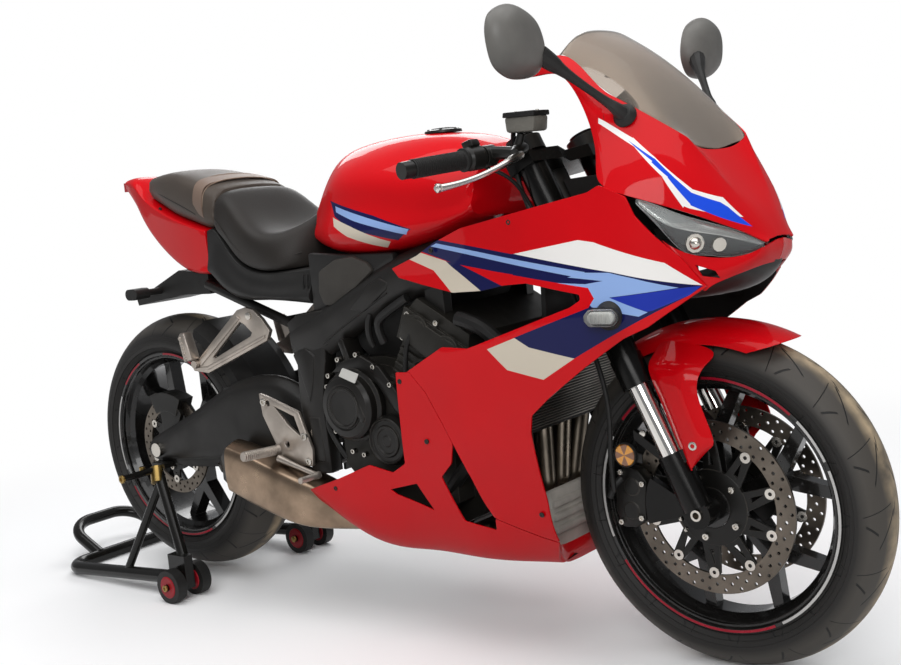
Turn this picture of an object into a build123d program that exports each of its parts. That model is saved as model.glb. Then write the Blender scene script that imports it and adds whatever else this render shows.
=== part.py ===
from build123d import *
import os
from math import cos, hypot, radians, sin

# Fully faired four-cylinder sport bike, parked upright on a paddock stand under its swingarm.
# Millimetres. The pieces are drawn with X = 0 at the rear axle, +X forwards, +Y to the rider's
# left, and the floor at Z = 0. keep() then moves each one so that the origin lies on the floor
# under the middle of the whole length, from the stand's handle to the front tyre.

# ---------------------------------------------------------------- driving dimensions
WHEELBASE = 1450.0
REAR_LIFT = 15.0            # gap under the rear tyre while the stand holds the bike
CLEAR = 0.3                 # seat clearance between pieces that meet
WALL = 3.0                  # moulded bodywork
ORIGIN_X = 628.0            # distance of the origin ahead of the rear axle

FRONT_TYRE_R = 300.0
FRONT_TYRE_W = 120.0
REAR_TYRE_R = 315.0
REAR_TYRE_W = 180.0
BEAD_R = 216.0              # seat of a 17 inch rim
FLANGE_R = 229.0
FRONT_RIM_W = 96.0          # between the flanges
REAR_RIM_W = 146.0
TYRE_WALL = 9.0
SPOKES = 5

RAKE = 24.9                 # steering axis from the vertical, as parked
FORK_OFFSET = 38.0
FORK_HALF = 103.0           # fork leg from the centre plane
FORK_INNER_R = 20.5
FORK_OUTER_R = 27.0
AXLE_R = 10.0
FRONT_DISC_R = 155.0
REAR_DISC_R = 120.0
DISC_THICK = 5.0
FRONT_DISC_HALF = 61.0

PIVOT_X = 578.0             # swingarm pivot
PIVOT_Z = 406.0
CRANK_X = 818.0
CRANK_Z = 406.0
CYLINDER_LEAN = 30.0

STAND_TUBE_R = 16.0
STAND_HALF = 205.0          # stand's side tube from the centre plane
ROLLER_R = 39.0
ROLLER_W = 26.0
ROLLER_X = 134.0
ROLLER_SPACING = 71.0       # between the two rollers of a pair

os.makedirs("parts", exist_ok=True)
FRONT_AXLE_Z = FRONT_TYRE_R
REAR_AXLE_Z = REAR_TYRE_R + REAR_LIFT
names = []


def keep(shape, label):
    """Move a finished piece to the model's frame, name it and write its STEP file."""
    placed = shape.moved(Location((-ORIGIN_X, 0, 0)))
    placed.label = label
    export_step(placed, f"parts/{label}.step")
    names.append(label)


def plate(points, near, far):
    """Plate of a side-view outline on the right side, from `near` to `far` off the centre plane."""
    with BuildPart() as made:
        with BuildSketch(Plane.XZ.offset(near)):
            Polygon(*points, align=None)
        extrude(amount=far - near)
    return made.part


def rod(start, end, radius, bore=0.0):
    """Round bar or tube between two points."""
    axis = Vector(*end) - Vector(*start)
    with BuildPart() as made:
        with BuildSketch(Plane(origin=start, z_dir=axis)):
            Circle(radius)
            if bore:
                Circle(bore, mode=Mode.SUBTRACT)
        extrude(amount=axis.length)
    return made.part


def bent_tube(points, bends, radius):
    """Round tube along straight runs joined by tangent arcs."""
    with BuildPart() as made:
        with BuildLine() as path:
            FilletPolyline(*points, radius=bends)
        with BuildSketch(Plane(origin=path.line @ 0, z_dir=path.line % 0)):
            Circle(radius)
        sweep()
    return made.part


def block(low, high):
    """Box between two corners."""
    centre = [(a + b) / 2 for a, b in zip(low, high)]
    sides = [b - a for a, b in zip(low, high)]
    with BuildPart() as made:
        with Locations(tuple(centre)):
            Box(*sides)
    return made.part


def wall_outline(points, wall):
    """Closed section of a wall. `points` run from the top down as (half width, height)."""
    inner = []
    for index in range(len(points)):
        before = points[max(index - 1, 0)]
        after = points[min(index + 1, len(points) - 1)]
        run = (after[0] - before[0], after[1] - before[1])
        scale = wall / hypot(*run)
        inward = points[index][0] + run[1] * scale if points[index][0] else 0
        inner.append((inward, points[index][1] - run[0] * scale))
    return [(-half, height) for half, height in points + inner[::-1]]


def skin(stations, wall=WALL):
    """Thin right-hand shell through stations of (x, [(half width, height), ...])."""
    with BuildPart() as made:
        for x, points in stations:
            with BuildSketch(Plane.YZ.offset(x)):
                Polygon(*wall_outline(points, wall), align=None)
        loft(ruled=True)
    return made.part


def pod(stations):
    """Solid form on the right side through closed sections of (x, [(half width, height), ...])."""
    with BuildPart() as made:
        for x, points in stations:
            with BuildSketch(Plane.YZ.offset(x)):
                Polygon(*[(-half, height) for half, height in points], align=None)
        loft(ruled=True)
    return made.part


def hull(stations):
    """Solid form, symmetric about the centre plane, through stations like those of skin()."""
    with BuildPart() as made:
        for x, points in stations:
            outline = [(-half, height) for half, height in points]
            outline += [(half, height) for half, height in points[::-1] if half > 0]
            with BuildSketch(Plane.YZ.offset(x)):
                Polygon(*outline, align=None)
        loft(ruled=True)
    return made.part


def both_sides(shape):
    """A right-hand piece with its left-hand twin."""
    with BuildPart() as made:
        add(shape)
        mirror(about=Plane.XZ)
    return made.part


def turned(section_points, axle_x, axle_z):
    """Ring about an axle along Y, from a closed section of (y, radius) points."""
    with BuildPart() as made:
        with BuildSketch(Plane(origin=(axle_x, 0, axle_z), x_dir=(0, 1, 0), z_dir=(1, 0, 0))):
            Polygon(*section_points, align=None)
        revolve(axis=Axis((axle_x, 0, axle_z), (0, 1, 0)))
    return made.part


# ---------------------------------------------------------------- wheels
def tyre(axle_x, axle_z, radius, width, rim_width):
    """Hollow carcass: round crown, sidewalls drawn in to the beads inside the rim flanges."""
    bead = rim_width / 2 - CLEAR
    half = width / 2
    shoulder = radius - 0.32 * width
    foot = BEAD_R + CLEAR
    inner_half = half - TYRE_WALL
    inner_bead = bead - TYRE_WALL
    with BuildPart() as made:
        with BuildSketch(Plane(origin=(axle_x, 0, axle_z), x_dir=(0, 1, 0), z_dir=(1, 0, 0))):
            with BuildLine():
                ThreePointArc((-half, shoulder), (0, radius), (half, shoulder))
                Line((half, shoulder), (bead, FLANGE_R + 2))
                Line((bead, FLANGE_R + 2), (bead, foot))
                Line((bead, foot), (inner_bead, foot))
                Line((inner_bead, foot), (inner_bead, FLANGE_R))
                Line((inner_bead, FLANGE_R), (inner_half, shoulder))
                ThreePointArc((inner_half, shoulder), (0, radius - TYRE_WALL), (-inner_half, shoulder))
                Line((-inner_half, shoulder), (-inner_bead, FLANGE_R))
                Line((-inner_bead, FLANGE_R), (-inner_bead, foot))
                Line((-inner_bead, foot), (-bead, foot))
                Line((-bead, foot), (-bead, FLANGE_R + 2))
                Line((-bead, FLANGE_R + 2), (-half, shoulder))
            make_face()
        revolve(axis=Axis((axle_x, 0, axle_z), (0, 1, 0)))
    return made.part


RIM_WALL = 4.0
SPOKE_SPLIT_R = 110.0       # where a spoke's stem forks
SPOKE_FAN = 17.0            # degrees from the stem to each branch at the rim


def polar(radius, angle):
    return (radius * cos(radians(angle)), radius * sin(radians(angle)))


def wheel(axle_x, axle_z, rim_width, hub_r, hub_half, bore, first_angle, thick):
    """Cast wheel: well-section rim, drum hub and forked spokes."""
    half = rim_width / 2
    flange = half + 5
    well = BEAD_R - 10
    section = [
        (-flange, FLANGE_R), (-half, FLANGE_R), (-half, BEAD_R), (-half + 18, BEAD_R),
        (-half + 26, well), (half - 26, well), (half - 18, BEAD_R), (half, BEAD_R),
        (half, FLANGE_R), (flange, FLANGE_R), (flange, FLANGE_R - 6), (half - 16, BEAD_R - 6),
        (half - 26, well - RIM_WALL), (-half + 26, well - RIM_WALL), (-half + 16, BEAD_R - 6),
        (-flange, FLANGE_R - 6),
    ]
    rim_r = well - RIM_WALL + 1
    spoke = [polar(hub_r - 2, -22), polar(SPOKE_SPLIT_R, -9), polar(rim_r, -SPOKE_FAN - 3),
             polar(rim_r, -SPOKE_FAN + 3), polar(SPOKE_SPLIT_R + 22, 0), polar(rim_r, SPOKE_FAN - 3),
             polar(rim_r, SPOKE_FAN + 3), polar(SPOKE_SPLIT_R, 9), polar(hub_r - 2, 22)]
    with BuildPart() as made:
        add(turned(section, axle_x, axle_z))
        with BuildSketch(Plane(origin=(axle_x, thick / 2, axle_z), z_dir=(0, -1, 0), x_dir=(1, 0, 0))):
            with PolarLocations(0, SPOKES, first_angle):
                Polygon(*spoke, align=None)
        extrude(amount=thick)
        with BuildSketch(Plane(origin=(axle_x, hub_half, axle_z), z_dir=(0, -1, 0), x_dir=(1, 0, 0))):
            Circle(hub_r)
        extrude(amount=2 * hub_half)
        with BuildSketch(Plane(origin=(axle_x, hub_half, axle_z), z_dir=(0, -1, 0), x_dir=(1, 0, 0))):
            Circle(bore)
        extrude(amount=2 * hub_half, mode=Mode.SUBTRACT)
    return made.part


def disc(axle_x, axle_z, radius, ring, hub_r, y, arms):
    """Brake disc: outer ring, and a carrier with arms from the hub to the ring."""
    with BuildPart() as made:
        with BuildSketch(Plane(origin=(axle_x, y + DISC_THICK / 2, axle_z), z_dir=(0, -1, 0),
                               x_dir=(1, 0, 0))):
            Circle(radius)
            Circle(radius - ring, mode=Mode.SUBTRACT)
            Circle(hub_r + 18)
            with PolarLocations((radius - ring + hub_r) / 2, arms):
                Rectangle(radius - ring - hub_r + 6, 14)
            Circle(hub_r, mode=Mode.SUBTRACT)
        extrude(amount=DISC_THICK)
    return made.part


HUB_R = 36.0
HUB_HALF = 66.0
front_axle = (WHEELBASE, FRONT_AXLE_Z)
rear_axle = (0.0, REAR_AXLE_Z)
keep(tyre(*front_axle, FRONT_TYRE_R, FRONT_TYRE_W, FRONT_RIM_W), "front_tyre")
keep(wheel(*front_axle, FRONT_RIM_W, HUB_R, HUB_HALF, AXLE_R + CLEAR, 25, 26), "front_rim")
front_disc = disc(*front_axle, FRONT_DISC_R, 34, HUB_R + CLEAR, -FRONT_DISC_HALF, 10)
keep(both_sides(front_disc), "front_discs")

REAR_HUB_HALF = 70.0
REAR_DISC_Y = -78.0
SPROCKET_Y = 92.0
CHAIN_THICK = 12.0
SPROCKET_R = 104.0
keep(tyre(*rear_axle, REAR_TYRE_R, REAR_TYRE_W, REAR_RIM_W), "rear_tyre")
keep(wheel(*rear_axle, REAR_RIM_W, 48, REAR_HUB_HALF, AXLE_R + CLEAR, -15, 34), "rear_rim")
with BuildPart() as rear_disc:
    add(disc(*rear_axle, REAR_DISC_R, 30, 30, REAR_DISC_Y, 6))
    add(rod((0, -REAR_HUB_HALF - CLEAR, REAR_AXLE_Z), (0, REAR_DISC_Y - 6, REAR_AXLE_Z), 40, AXLE_R + CLEAR))
keep(rear_disc.part, "rear_disc")

# ---------------------------------------------------------------- steering: fork, yokes, bars
RAKE_COS = cos(radians(RAKE))
RAKE_SIN = sin(radians(RAKE))
STEER_X = WHEELBASE - FORK_OFFSET * RAKE_COS      # point of the steering axis nearest the axle
STEER_Z = FRONT_AXLE_Z - FORK_OFFSET * RAKE_SIN
FOOT_TOP = 112.0            # distances up the fork from the axle
FOOT_SOCKET = 90.0
SEAL_LOW = 242.0
LOWER_YOKE = (498.0, 530.0)
UPPER_YOKE = (676.0, 700.0)
BAR_CLAMP = (UPPER_YOKE[1] + CLEAR, UPPER_YOKE[1] + 28)
FORK_TOP = 736.0
STEM_R = 15.0
HEAD_TUBE_R = 30.0
BAR_R = 11.0


def steer(ahead, side, up):
    """Point given along the fork: ahead of the steering axis, to the left, and up the axis."""
    return (STEER_X + ahead * RAKE_COS - up * RAKE_SIN, side,
            STEER_Z + ahead * RAKE_SIN + up * RAKE_COS)


def leg(low, high, radius, bore=0.0):
    """Length of the right fork leg."""
    return rod(steer(FORK_OFFSET, -FORK_HALF, low), steer(FORK_OFFSET, -FORK_HALF, high), radius, bore)


keep(both_sides(leg(FOOT_SOCKET + CLEAR, SEAL_LOW + 80, FORK_INNER_R)), "fork_inner_tubes")

with BuildPart() as fork_outer:
    add(leg(SEAL_LOW, SEAL_LOW + 56, FORK_OUTER_R + 2))
    add(leg(SEAL_LOW, FORK_TOP, FORK_OUTER_R))
    add(leg(SEAL_LOW, SEAL_LOW + 81, FORK_INNER_R + CLEAR), mode=Mode.SUBTRACT)
keep(both_sides(fork_outer.part), "fork_outer_tubes")

FOOT_R = 26.0
FOOT_OUT = FORK_HALF + 14       # outer and inner faces of the axle clamp
FOOT_IN = FORK_HALF - 26
FENDER_BOLTS = ((1454.0, 422.0), (1336.0, 434.0))
FENDER_ARM_Y = (115.0, 118.0)
CALIPER_IN_R = 112.0
CALIPER_OUT_R = 176.0
CALIPER_ANGLES = (152.0, 196.0)


CALIPER_STEPS = 5


def ring_sector(axle_x, axle_z, inner, outer, angles):
    """Side-view corners of a ring sector about an axle."""
    fan = [angles[0] + (angles[1] - angles[0]) * step / CALIPER_STEPS for step in range(CALIPER_STEPS + 1)]
    far = [(axle_x + outer * cos(radians(a)), axle_z + outer * sin(radians(a))) for a in fan]
    near = [(axle_x + inner * cos(radians(a)), axle_z + inner * sin(radians(a))) for a in fan]
    return far + near[::-1]


with BuildPart() as fork_foot:
    add(leg(10, FOOT_TOP, FOOT_R))
    add(rod((WHEELBASE, -FOOT_IN, FRONT_AXLE_Z), (WHEELBASE, -FOOT_OUT, FRONT_AXLE_Z), 25))
    for bolt_x, bolt_z in FENDER_BOLTS:
        top_x, _, top_z = steer(FORK_OFFSET, 0, FOOT_TOP - 6)
        low_x, _, low_z = steer(FORK_OFFSET, 0, FOOT_TOP - 34)
        add(plate([(top_x, top_z), (bolt_x, bolt_z + 9), (bolt_x, bolt_z - 9), (low_x, low_z)],
                  FENDER_ARM_Y[0] - 12, FENDER_ARM_Y[0] - CLEAR))
    lug = ring_sector(*front_axle, 0, CALIPER_IN_R - CLEAR, CALIPER_ANGLES)[:CALIPER_STEPS + 2]
    add(plate(lug, FOOT_IN + 4, FOOT_IN + 20))
    add(leg(FOOT_SOCKET, FOOT_TOP + 90, FORK_INNER_R + CLEAR), mode=Mode.SUBTRACT)
    add(rod((WHEELBASE, 0, FRONT_AXLE_Z), (WHEELBASE, -FOOT_OUT - 8, FRONT_AXLE_Z), AXLE_R + CLEAR),
        mode=Mode.SUBTRACT)
keep(both_sides(fork_foot.part), "fork_feet")

FRONT_AXLE_BORE = 6.0
AXLE_SOCKET = 30.0              # depth of the socket in each end of the axle
AXLE_END = FOOT_OUT + 4
with BuildPart() as axle:
    add(rod((WHEELBASE, -AXLE_END, FRONT_AXLE_Z), (WHEELBASE, AXLE_END, FRONT_AXLE_Z), AXLE_R))
    for side in (-1, 1):
        add(rod((WHEELBASE, side * (HUB_HALF + CLEAR), FRONT_AXLE_Z),
                (WHEELBASE, side * (FOOT_IN - CLEAR), FRONT_AXLE_Z), 17))
    for side in (-1, 1):
        add(rod((WHEELBASE, side * (AXLE_END - AXLE_SOCKET), FRONT_AXLE_Z),
                (WHEELBASE, side * (AXLE_END + 1), FRONT_AXLE_Z), FRONT_AXLE_BORE), mode=Mode.SUBTRACT)
keep(axle.part, "front_axle")


CALIPER_HALF = (34.0, 100.0)
caliper_slot = (FRONT_DISC_HALF - 6, FRONT_DISC_HALF + 6)
with BuildPart() as front_caliper:
    add(plate(ring_sector(*front_axle, CALIPER_IN_R, CALIPER_OUT_R, CALIPER_ANGLES), *CALIPER_HALF))
    add(plate(ring_sector(*front_axle, 0, FRONT_DISC_R + 4, (120, 230)), *caliper_slot),
        mode=Mode.SUBTRACT)
keep(both_sides(front_caliper.part), "front_calipers")

yoke_plane = Plane(origin=steer(0, 0, 0), x_dir=(RAKE_COS, 0, RAKE_SIN), z_dir=(-RAKE_SIN, 0, RAKE_COS))
with BuildPart() as yokes:
    for low, high in (LOWER_YOKE, UPPER_YOKE):
        with BuildSketch(yoke_plane.offset(low)):
            Polygon((-30, -30), (-30, 30), (8, FORK_HALF + 34), (66, FORK_HALF + 34), (72, 50),
                    (52, 0), (72, -50), (66, -FORK_HALF - 34), (8, -FORK_HALF - 34), align=None)
            with Locations((FORK_OFFSET, FORK_HALF), (FORK_OFFSET, -FORK_HALF)):
                Circle(FORK_OUTER_R + CLEAR, mode=Mode.SUBTRACT)
        extrude(amount=high - low)
    add(rod(steer(0, 0, LOWER_YOKE[0] - 6), steer(0, 0, UPPER_YOKE[1] + 10), STEM_R))
    add(rod(steer(0, 0, LOWER_YOKE[0] - 7), steer(0, 0, LOWER_YOKE[0] + 34), 9), mode=Mode.SUBTRACT)
keep(yokes.part, "yokes")

BAR_INNER = Vector(*steer(FORK_OFFSET, -FORK_HALF, (BAR_CLAMP[0] + BAR_CLAMP[1]) / 2))
BAR_END = Vector(1091, -362, 930)
BAR_END_R = 15.0


def bar(half):
    """Point on the right handlebar's centre line at a distance from the centre plane."""
    share = (-half - BAR_INNER.Y) / (BAR_END.Y - BAR_INNER.Y)
    return BAR_INNER + (BAR_END - BAR_INNER) * share


GRIP = (240.0, 352.0)
with BuildPart() as handlebar:
    add(leg(*BAR_CLAMP, FORK_OUTER_R + 10))
    add(rod(bar(FORK_HALF), bar(GRIP[1] + 3), BAR_R))
    add(rod(bar(GRIP[1] + CLEAR), bar(GRIP[1] + 22), BAR_END_R))
    add(leg(BAR_CLAMP[0] - 1, BAR_CLAMP[1] + 1, FORK_OUTER_R + CLEAR), mode=Mode.SUBTRACT)
keep(both_sides(handlebar.part), "handlebars")
keep(both_sides(rod(bar(GRIP[0]), bar(GRIP[1]), 17, BAR_R + CLEAR)), "grips")

PERCH = (176.0, 200.0)
POD = (203.0, 237.0)
LEVER_PIVOT = Vector(1206, -196, 938)
with BuildPart() as controls:
    add(rod(bar(PERCH[0]), bar(PERCH[1]), 19, BAR_R + CLEAR))
    add(rod(bar(188) + Vector(15, 0, 0), LEVER_PIVOT - Vector(4, 0, 0), 12))
    add(rod(bar(188), bar(189.5), BAR_R + CLEAR), mode=Mode.SUBTRACT)
    add(rod(bar(POD[0]), bar(POD[1]), 22, BAR_R + CLEAR))
LEVER_POINTS = (LEVER_PIVOT + Vector(1.5, -4, 0), Vector(1212, -240, 925), Vector(1178, -300, 905), Vector(1158, -352, 895))
with BuildPart() as lever:
    for start, end in zip(LEVER_POINTS, LEVER_POINTS[1:]):
        add(rod(start, end, 5.5))
    for joint in LEVER_POINTS[1:]:
        with Locations(joint):
            Sphere(8 if joint is LEVER_POINTS[-1] else 5.5)
keep(both_sides(lever.part), "hand_levers")
with BuildPart() as hand_controls:
    add(both_sides(controls.part))
    add(block((1190, -214, 972), (1254, -164, 1012)))
    add(rod((1190, -186, 942), (1206, -186, 973), 7))
keep(hand_controls.part, "hand_controls")

FENDER_IN_R = FRONT_TYRE_R + 22
FENDER_HALF = 69.0
FENDER_SPAN = (57.0, 118.0)     # degrees about the front axle
fender_wall = [(-FENDER_HALF, FRONT_TYRE_R - 14), (-FENDER_HALF + 6, FENDER_IN_R - 14), (-30, FENDER_IN_R),
               (30, FENDER_IN_R), (FENDER_HALF - 6, FENDER_IN_R - 14), (FENDER_HALF, FRONT_TYRE_R - 14),
               (FENDER_HALF - 3, FRONT_TYRE_R - 14), (FENDER_HALF - 9, FENDER_IN_R - 17),
               (30, FENDER_IN_R - WALL), (-30, FENDER_IN_R - WALL), (-FENDER_HALF + 9, FENDER_IN_R - 17),
               (-FENDER_HALF + 3, FRONT_TYRE_R - 14)]
fender_side = [(1292, 700), (1292, 556), (1371, 560), (1471, 559), (1531, 571), (1604, 588), (1604, 700)]
fender_arm = [(1371, 560), (1376, 584), (1469, 566), (1465, 513), (1487, 436), (1488, 424),
              (1469, 407), (1442, 378), (1418, 428)]
arm_root = [(1371, 560), (1376, 584), (1469, 566), (1468, 556)]
with BuildPart() as fender:
    add(turned(fender_wall, *front_axle))
    add(plate(fender_side, -90, 90), mode=Mode.INTERSECT)
    for side in (1, -1):
        add(plate(fender_arm, side * FENDER_ARM_Y[0], side * FENDER_ARM_Y[1]))
        add(plate(arm_root, side * (FENDER_HALF - 4), side * FENDER_ARM_Y[1]))
keep(fender.part, "front_fender")

# ---------------------------------------------------------------- frame, engine, rear end
SPAR_STATIONS = (       # x, inner and outer half width, bottom, top
    (1190, 22, 46, 772, 846),
    (1080, 84, 112, 742, 812),
    (960, 120, 148, 712, 786),
    (820, 128, 158, 680, 748),
    (640, 124, 156, 588, 668),
    (545, 120, 150, 560, 640),
)
PIVOT_PLATE = [(525, 640), (640, 668), (628, 560), (606, 470), (612, 322), (556, 316), (540, 470), (545, 560)]
with BuildPart() as spar:
    for x, inner, outer, low, high in SPAR_STATIONS:
        with BuildSketch(Plane.YZ.offset(x)):
            Polygon((-outer, low + 8), (-outer, high - 8), (-outer + 8, high), (-inner, high),
                    (-inner, low), (-outer + 8, low), align=None)
    loft(ruled=True)
PROP_PIVOT = Vector(612, 152, 262)              # side stand's pin, in a bracket on the left plate
PROP_OUT = Vector(0.047, 0.939, 0.342)          # pin's direction, outwards
PROP_PIN_R = 6.0
RAIL_R = 11.0
RAIL_FRONT = (604, 106, 594)
RAIL_REAR = (212, 92, 724)
FAIRING_PEG = (980.0, 752.0, 194.2)             # side-view place and outer end
ENGINE_LUG = [(915, 704), (960, 714), (960, 656.5 + CLEAR), (915, 682.5 + CLEAR)]
with BuildPart() as frame:
    add(spar.part)
    add(plate(PIVOT_PLATE, 118, 150))
    add(plate(ENGINE_LUG, 122, 146))
    add(rod((FAIRING_PEG[0], -136, FAIRING_PEG[1]), (FAIRING_PEG[0], -FAIRING_PEG[2], FAIRING_PEG[1]), 7))
    add(rod(RAIL_FRONT, RAIL_REAR, RAIL_R))
    mirror(about=Plane.XZ)
    add(rod((RAIL_REAR[0], -RAIL_REAR[1], RAIL_REAR[2]), RAIL_REAR, RAIL_R))
    add(rod((470, -101, 638.5), (470, 101, 638.5), RAIL_R - 1))
    add(plate([(556, 330), (611, 330), (632, 248), (594, 248)], -137, -120))
    add(rod(PROP_PIVOT - PROP_OUT * 24, PROP_PIVOT + PROP_OUT * 13, PROP_PIN_R))
    add(rod(steer(0, 0, LOWER_YOKE[1] + CLEAR), steer(0, 0, UPPER_YOKE[0] - CLEAR), HEAD_TUBE_R))
    for z in (610, 340):
        add(rod((582, -119, z), (582, 119, z), 14))
    add(rod(steer(0, 0, LOWER_YOKE[1]), steer(0, 0, UPPER_YOKE[0]), STEM_R + CLEAR), mode=Mode.SUBTRACT)
    add(rod((PIVOT_X, -160, PIVOT_Z), (PIVOT_X, 160, PIVOT_Z), 12 + CLEAR), mode=Mode.SUBTRACT)
keep(frame.part, "frame")

# Chain line on the left side: the loop runs between the arm and the wheel, and over the pivot.
CHAIN_Y = (98.0, 110.0)
CHAIN_HIGH = 10.0
FRONT_SPROCKET = (664.0, 440.0, 37.5)
CHAIN_ROOM = 9.0


def chain_loop(grow, near, far):
    """Belt-shaped slab around both sprockets, `grow` outside their tips."""
    x, z, radius = FRONT_SPROCKET
    with BuildPart() as made:
        with BuildSketch(Plane.XZ.offset(-far)):
            with Locations((0, REAR_AXLE_Z)):
                Circle(SPROCKET_R + grow)
            with Locations((x, z)):
                Circle(radius + grow)
            make_hull()
        extrude(amount=far - near)
    return made.part


PIVOT_BOLT_R = 12.0
PIVOT_HALF = 108.0          # swingarm's pivot tube
SWING_STATIONS = (      # x, inner and outer half width, bottom, top
    (-34, 104, 126, 306, 348),
    (60, 104, 128, 300, 384),
    (290, 104, 130, 322, 482),
    (420, 78, 124, 340, 500),
    (500, 60, 112, 372, 470),
    (560, 60, 108, 384, 428),
)
with BuildPart() as arm:
    for x, inner, outer, low, high in SWING_STATIONS:
        with BuildSketch(Plane.YZ.offset(x)):
            Polygon((-outer + 8, low), (-outer, low + 10), (-outer, high - 10), (-outer + 10, high),
                    (-inner, high), (-inner, low), align=None)
    loft(ruled=True)
with BuildPart() as swingarm:
    add(arm.part)
    mirror(about=Plane.XZ)
    add(rod((PIVOT_X, -PIVOT_HALF, PIVOT_Z), (PIVOT_X, PIVOT_HALF, PIVOT_Z), 27))
    add(block((440, -66, 378), (500, 66, 466)))
    add(rod((PIVOT_X, -PIVOT_HALF - 1, PIVOT_Z), (PIVOT_X, PIVOT_HALF + 1, PIVOT_Z), PIVOT_BOLT_R + CLEAR),
        mode=Mode.SUBTRACT)
    add(rod((0, -140, REAR_AXLE_Z), (0, 140, REAR_AXLE_Z), AXLE_R + CLEAR), mode=Mode.SUBTRACT)
    add(chain_loop(CHAIN_HIGH + CHAIN_ROOM, CHAIN_Y[0] - 6, CHAIN_Y[1] + 5), mode=Mode.SUBTRACT)
keep(swingarm.part, "swingarm")

with BuildPart() as rear_spindle:
    add(rod((0, -138, REAR_AXLE_Z), (0, 138, REAR_AXLE_Z), AXLE_R))
    for side in (-1, 1):
        add(rod((0, side * (126 + 3), REAR_AXLE_Z), (0, side * 140, REAR_AXLE_Z), 17))
    for near, far in ((-104 + CLEAR, -98 - CLEAR), (CHAIN_Y[1] - 3 + CLEAR, CHAIN_Y[1] + 5 - CLEAR)):
        add(rod((0, near, REAR_AXLE_Z), (0, far, REAR_AXLE_Z), 17))
    add(rod((PIVOT_X, -156, PIVOT_Z), (PIVOT_X, 156, PIVOT_Z), PIVOT_BOLT_R))
keep(rear_spindle.part, "rear_axle_and_pivot")

# Engine: lower case, cylinders and head leaning forwards, covers on both ends of the shafts.
CASE_HALF = 112.0
CASE = [(640, 560), (640, 330), (700, 262), (930, 232), (985, 262), (985, 470), (900, 545), (760, 566)]
CASE_ENDS = [(668, 548), (668, 350), (720, 300), (930, 270), (962, 290), (962, 450), (880, 520), (760, 548)]
CYLINDER_TOP = 196.0
HEAD_TOP = 262.0
COVER_TOP = 288.0
HEAD_FRONT = 87.0
lean_x = sin(radians(CYLINDER_LEAN))
lean_z = cos(radians(CYLINDER_LEAN))


def lean(along, ahead):
    """Side-view point along the leaning cylinders from the crankshaft."""
    return (CRANK_X + along * lean_x + ahead * lean_z, CRANK_Z + along * lean_z - ahead * lean_x)


with BuildPart() as engine:
    add(plate(CASE, -CASE_HALF, CASE_HALF))
    add(plate(CASE_ENDS, -CASE_HALF - 48, CASE_HALF + 48))
    add(plate([(700, 300), (720, 224), (905, 196), (935, 232), (960, 300)], -88, 88))
    add(plate([lean(60, -72), lean(CYLINDER_TOP, -72), lean(CYLINDER_TOP, 78), lean(60, 78)], -150, 150))
    add(chain_loop(CHAIN_HIGH + CHAIN_ROOM, CHAIN_Y[0] - 6, CHAIN_Y[1] + 6), mode=Mode.SUBTRACT)
    x, z, radius = FRONT_SPROCKET
    add(rod((x, CHAIN_Y[0] - 8, z), (x, CHAIN_Y[0] + 4, z), 14))
    add(rod((x, CHAIN_Y[0] + 3, z), (x, CHAIN_Y[1] - 3, z), radius))
    add(plate([lean(CYLINDER_TOP, -78), lean(HEAD_TOP, -84), lean(HEAD_TOP, HEAD_FRONT), lean(CYLINDER_TOP, HEAD_FRONT)],
              -166, 166))
    add(plate([lean(HEAD_TOP, -76), lean(COVER_TOP, -66), lean(COVER_TOP, 74), lean(HEAD_TOP, 82)], -160, 160))
keep(engine.part, "engine")

CASE_END = CASE_HALF + 48
COVER_EDGE = 8.0
COVERS = (      # side, x, z, radius, outer distance from the centre plane
    (-1, 722, 476, 70, 212),        # clutch
    (-1, 822, 404, 46, 186),        # pulse generator
    (1, 822, 404, 66, 196),         # alternator
    (1, 700, 440, 44, 184),         # front sprocket
)
with BuildPart() as covers:
    for side, x, z, radius, far in COVERS:
        add(rod((x, side * (CASE_END + CLEAR), z), (x, side * (far - COVER_EDGE), z), radius))
        with BuildSketch(Plane(origin=(x, side * (far - COVER_EDGE), z), z_dir=(0, side, 0))):
            Circle(radius)
        extrude(amount=COVER_EDGE, taper=35)
keep(covers.part, "engine_covers")

RADIATOR = ((1128, 440), (1180, 630), 26.0, 178.0)      # foot, top, thickness, half width
with BuildPart() as radiator:
    foot, top, thick, half = RADIATOR
    add(plate([foot, top, (top[0] + thick, top[1] - 6), (foot[0] + thick, foot[1] - 6)], -half, half))
    for side in (-1, 1):
        add(plate([(1168, 618), (1190, 626), (1116, 751.8 - CLEAR), (1096, 746.4 - CLEAR)], side * 76, side * 82))
keep(radiator.part, "radiator")

HEADER_R = 19.0
headers = []
for y in (-132, -44, 44, 132):
    inward = y * 0.55
    port_x, port_z = lean(231, HEAD_FRONT + CLEAR)
    bend_x, bend_z = lean(231, HEAD_FRONT + 54)
    headers.append(bent_tube([(port_x, y, port_z), (bend_x, y, bend_z), (1084, y * 0.8, 450),
                              (1072, inward, 300), (1020, inward, 211), (952, inward, 211)],
                             [30, 60, 60, 40], HEADER_R))
with BuildPart() as exhaust:
    for pipe in headers:
        add(pipe)
    add(block((937 + CLEAR, -128, 194), (968, 100, 228)))
keep(exhaust.part, "exhaust_headers")

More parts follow.
